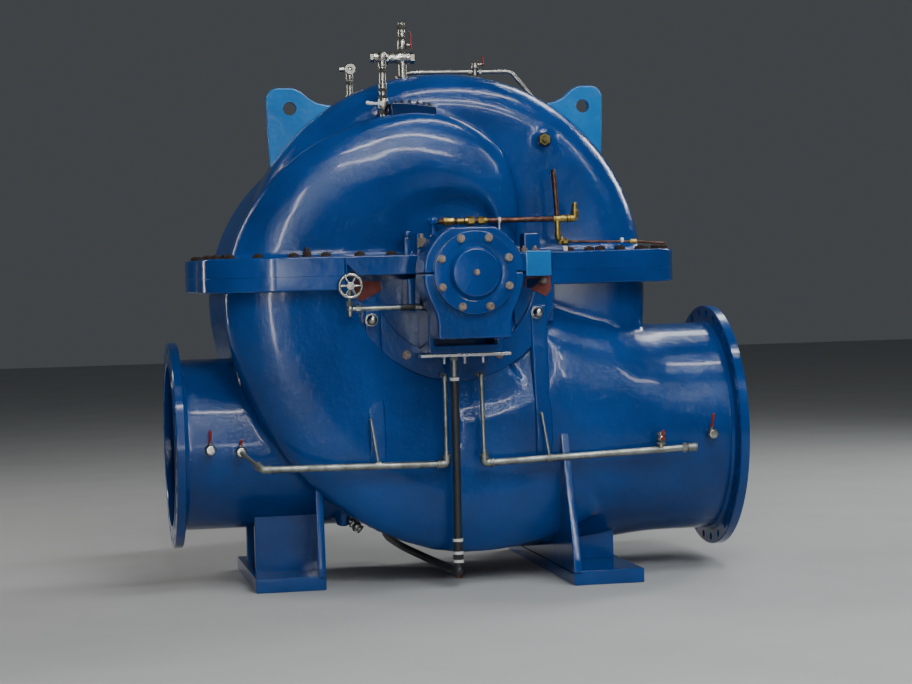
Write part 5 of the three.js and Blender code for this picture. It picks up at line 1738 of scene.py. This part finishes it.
COOL, CLEAR, WARM = (0.95, 0.98, 1.0), (0.95, 0.99, 1.0), (1.0, 0.92, 0.84)
LAMPS = {
    "first_row": ((1.2, -6.8, 6.8), (0, 0, 1.5), (4.6, 0.26), 220, CLEAR, -24),
    "second_row": ((1.2, -7.8, 5.0), (0, 0, 1.5), (3.6, 0.2), 110, COOL, -36),
    "roof_row": ((2.2, -3.3, 9.4), (0, 0, 1.5), (5.6, 0.36), 290, CLEAR, -10),
    "door_slit": ((-1.7, -8.7, 3.1), (-0.9, 0, 1.5), (0.22, 6.0), 190, COOL),
    "side_slit": ((5.4, -5.3, 5.4), (0.2, -0.5, 2.0), (0.2, 2.4), 50, COOL),
    "far_window": ((2.1, -40.0, 1.7), (0.6, 0, 1.4), (1.6, 2.6), 210, COOL),
    "left_wall": ((-7.4, 3.0, 3.7), (-0.8, 0, 1.5), (0.6, 6.5), 230, WARM),
    "right_wall": ((7.1, 3.5, 5.0), (0.6, 0, 1.7), (0.5, 3.0), 230, CLEAR),
    "back_window": ((4.3, 4.0, 7.2), (0.6, 0, 1.4), (3.0, 1.2), 130, (0.93, 0.98, 1.0)),
}
for name, measures in LAMPS.items():
    lamp(name, *measures)
sky = bpy.data.worlds.new("soft_room")
sky.use_nodes = True
haze = sky.node_tree.nodes["Background"].inputs
haze["Color"].default_value, haze["Strength"].default_value = (0.58, 0.64, 0.70, 1), 0.1
bpy.context.scene.world = sky
print(len(LAMPS), "lamps and a dim room")

# %% Camera
LENS = 91.1
STAND = Vector((-2.082, -11.539, 0.010))
YAW, PITCH, ROLL = (math.radians(a) for a in (10.64, 1.77, 1.5))
ahead = Vector((math.sin(YAW) * math.cos(PITCH), math.cos(YAW) * math.cos(PITCH), -math.sin(PITCH)))
right = Vector((math.cos(YAW), -math.sin(YAW), 0))
down = ahead.cross(right)
tilted = right * math.cos(ROLL) + down * math.sin(ROLL)
below = ahead.cross(tilted)
view = bpy.data.cameras.new("photo_view")
view.lens = LENS
camera = bpy.data.objects.new("photo_view", view)
turn = Matrix((tilted, -below, -ahead)).transposed().to_4x4()
camera.matrix_world = Matrix.Translation(CENTRE + STAND) @ turn
bpy.context.collection.objects.link(camera)
bpy.context.scene.camera = camera
print("camera at", [round(c, 3) for c in camera.matrix_world.translation])

# %% [markdown] ## The last check  The dressed pump must fill the same box as the frame.

# %% Sizes, and the end
low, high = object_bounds()
sizes = {"cad": [*cad_low, *cad_high], "visual": [*low, *high]}
print("difference in mm", [round(1000 * (b - a), 1) for a, b in zip(sizes["cad"], sizes["visual"])])
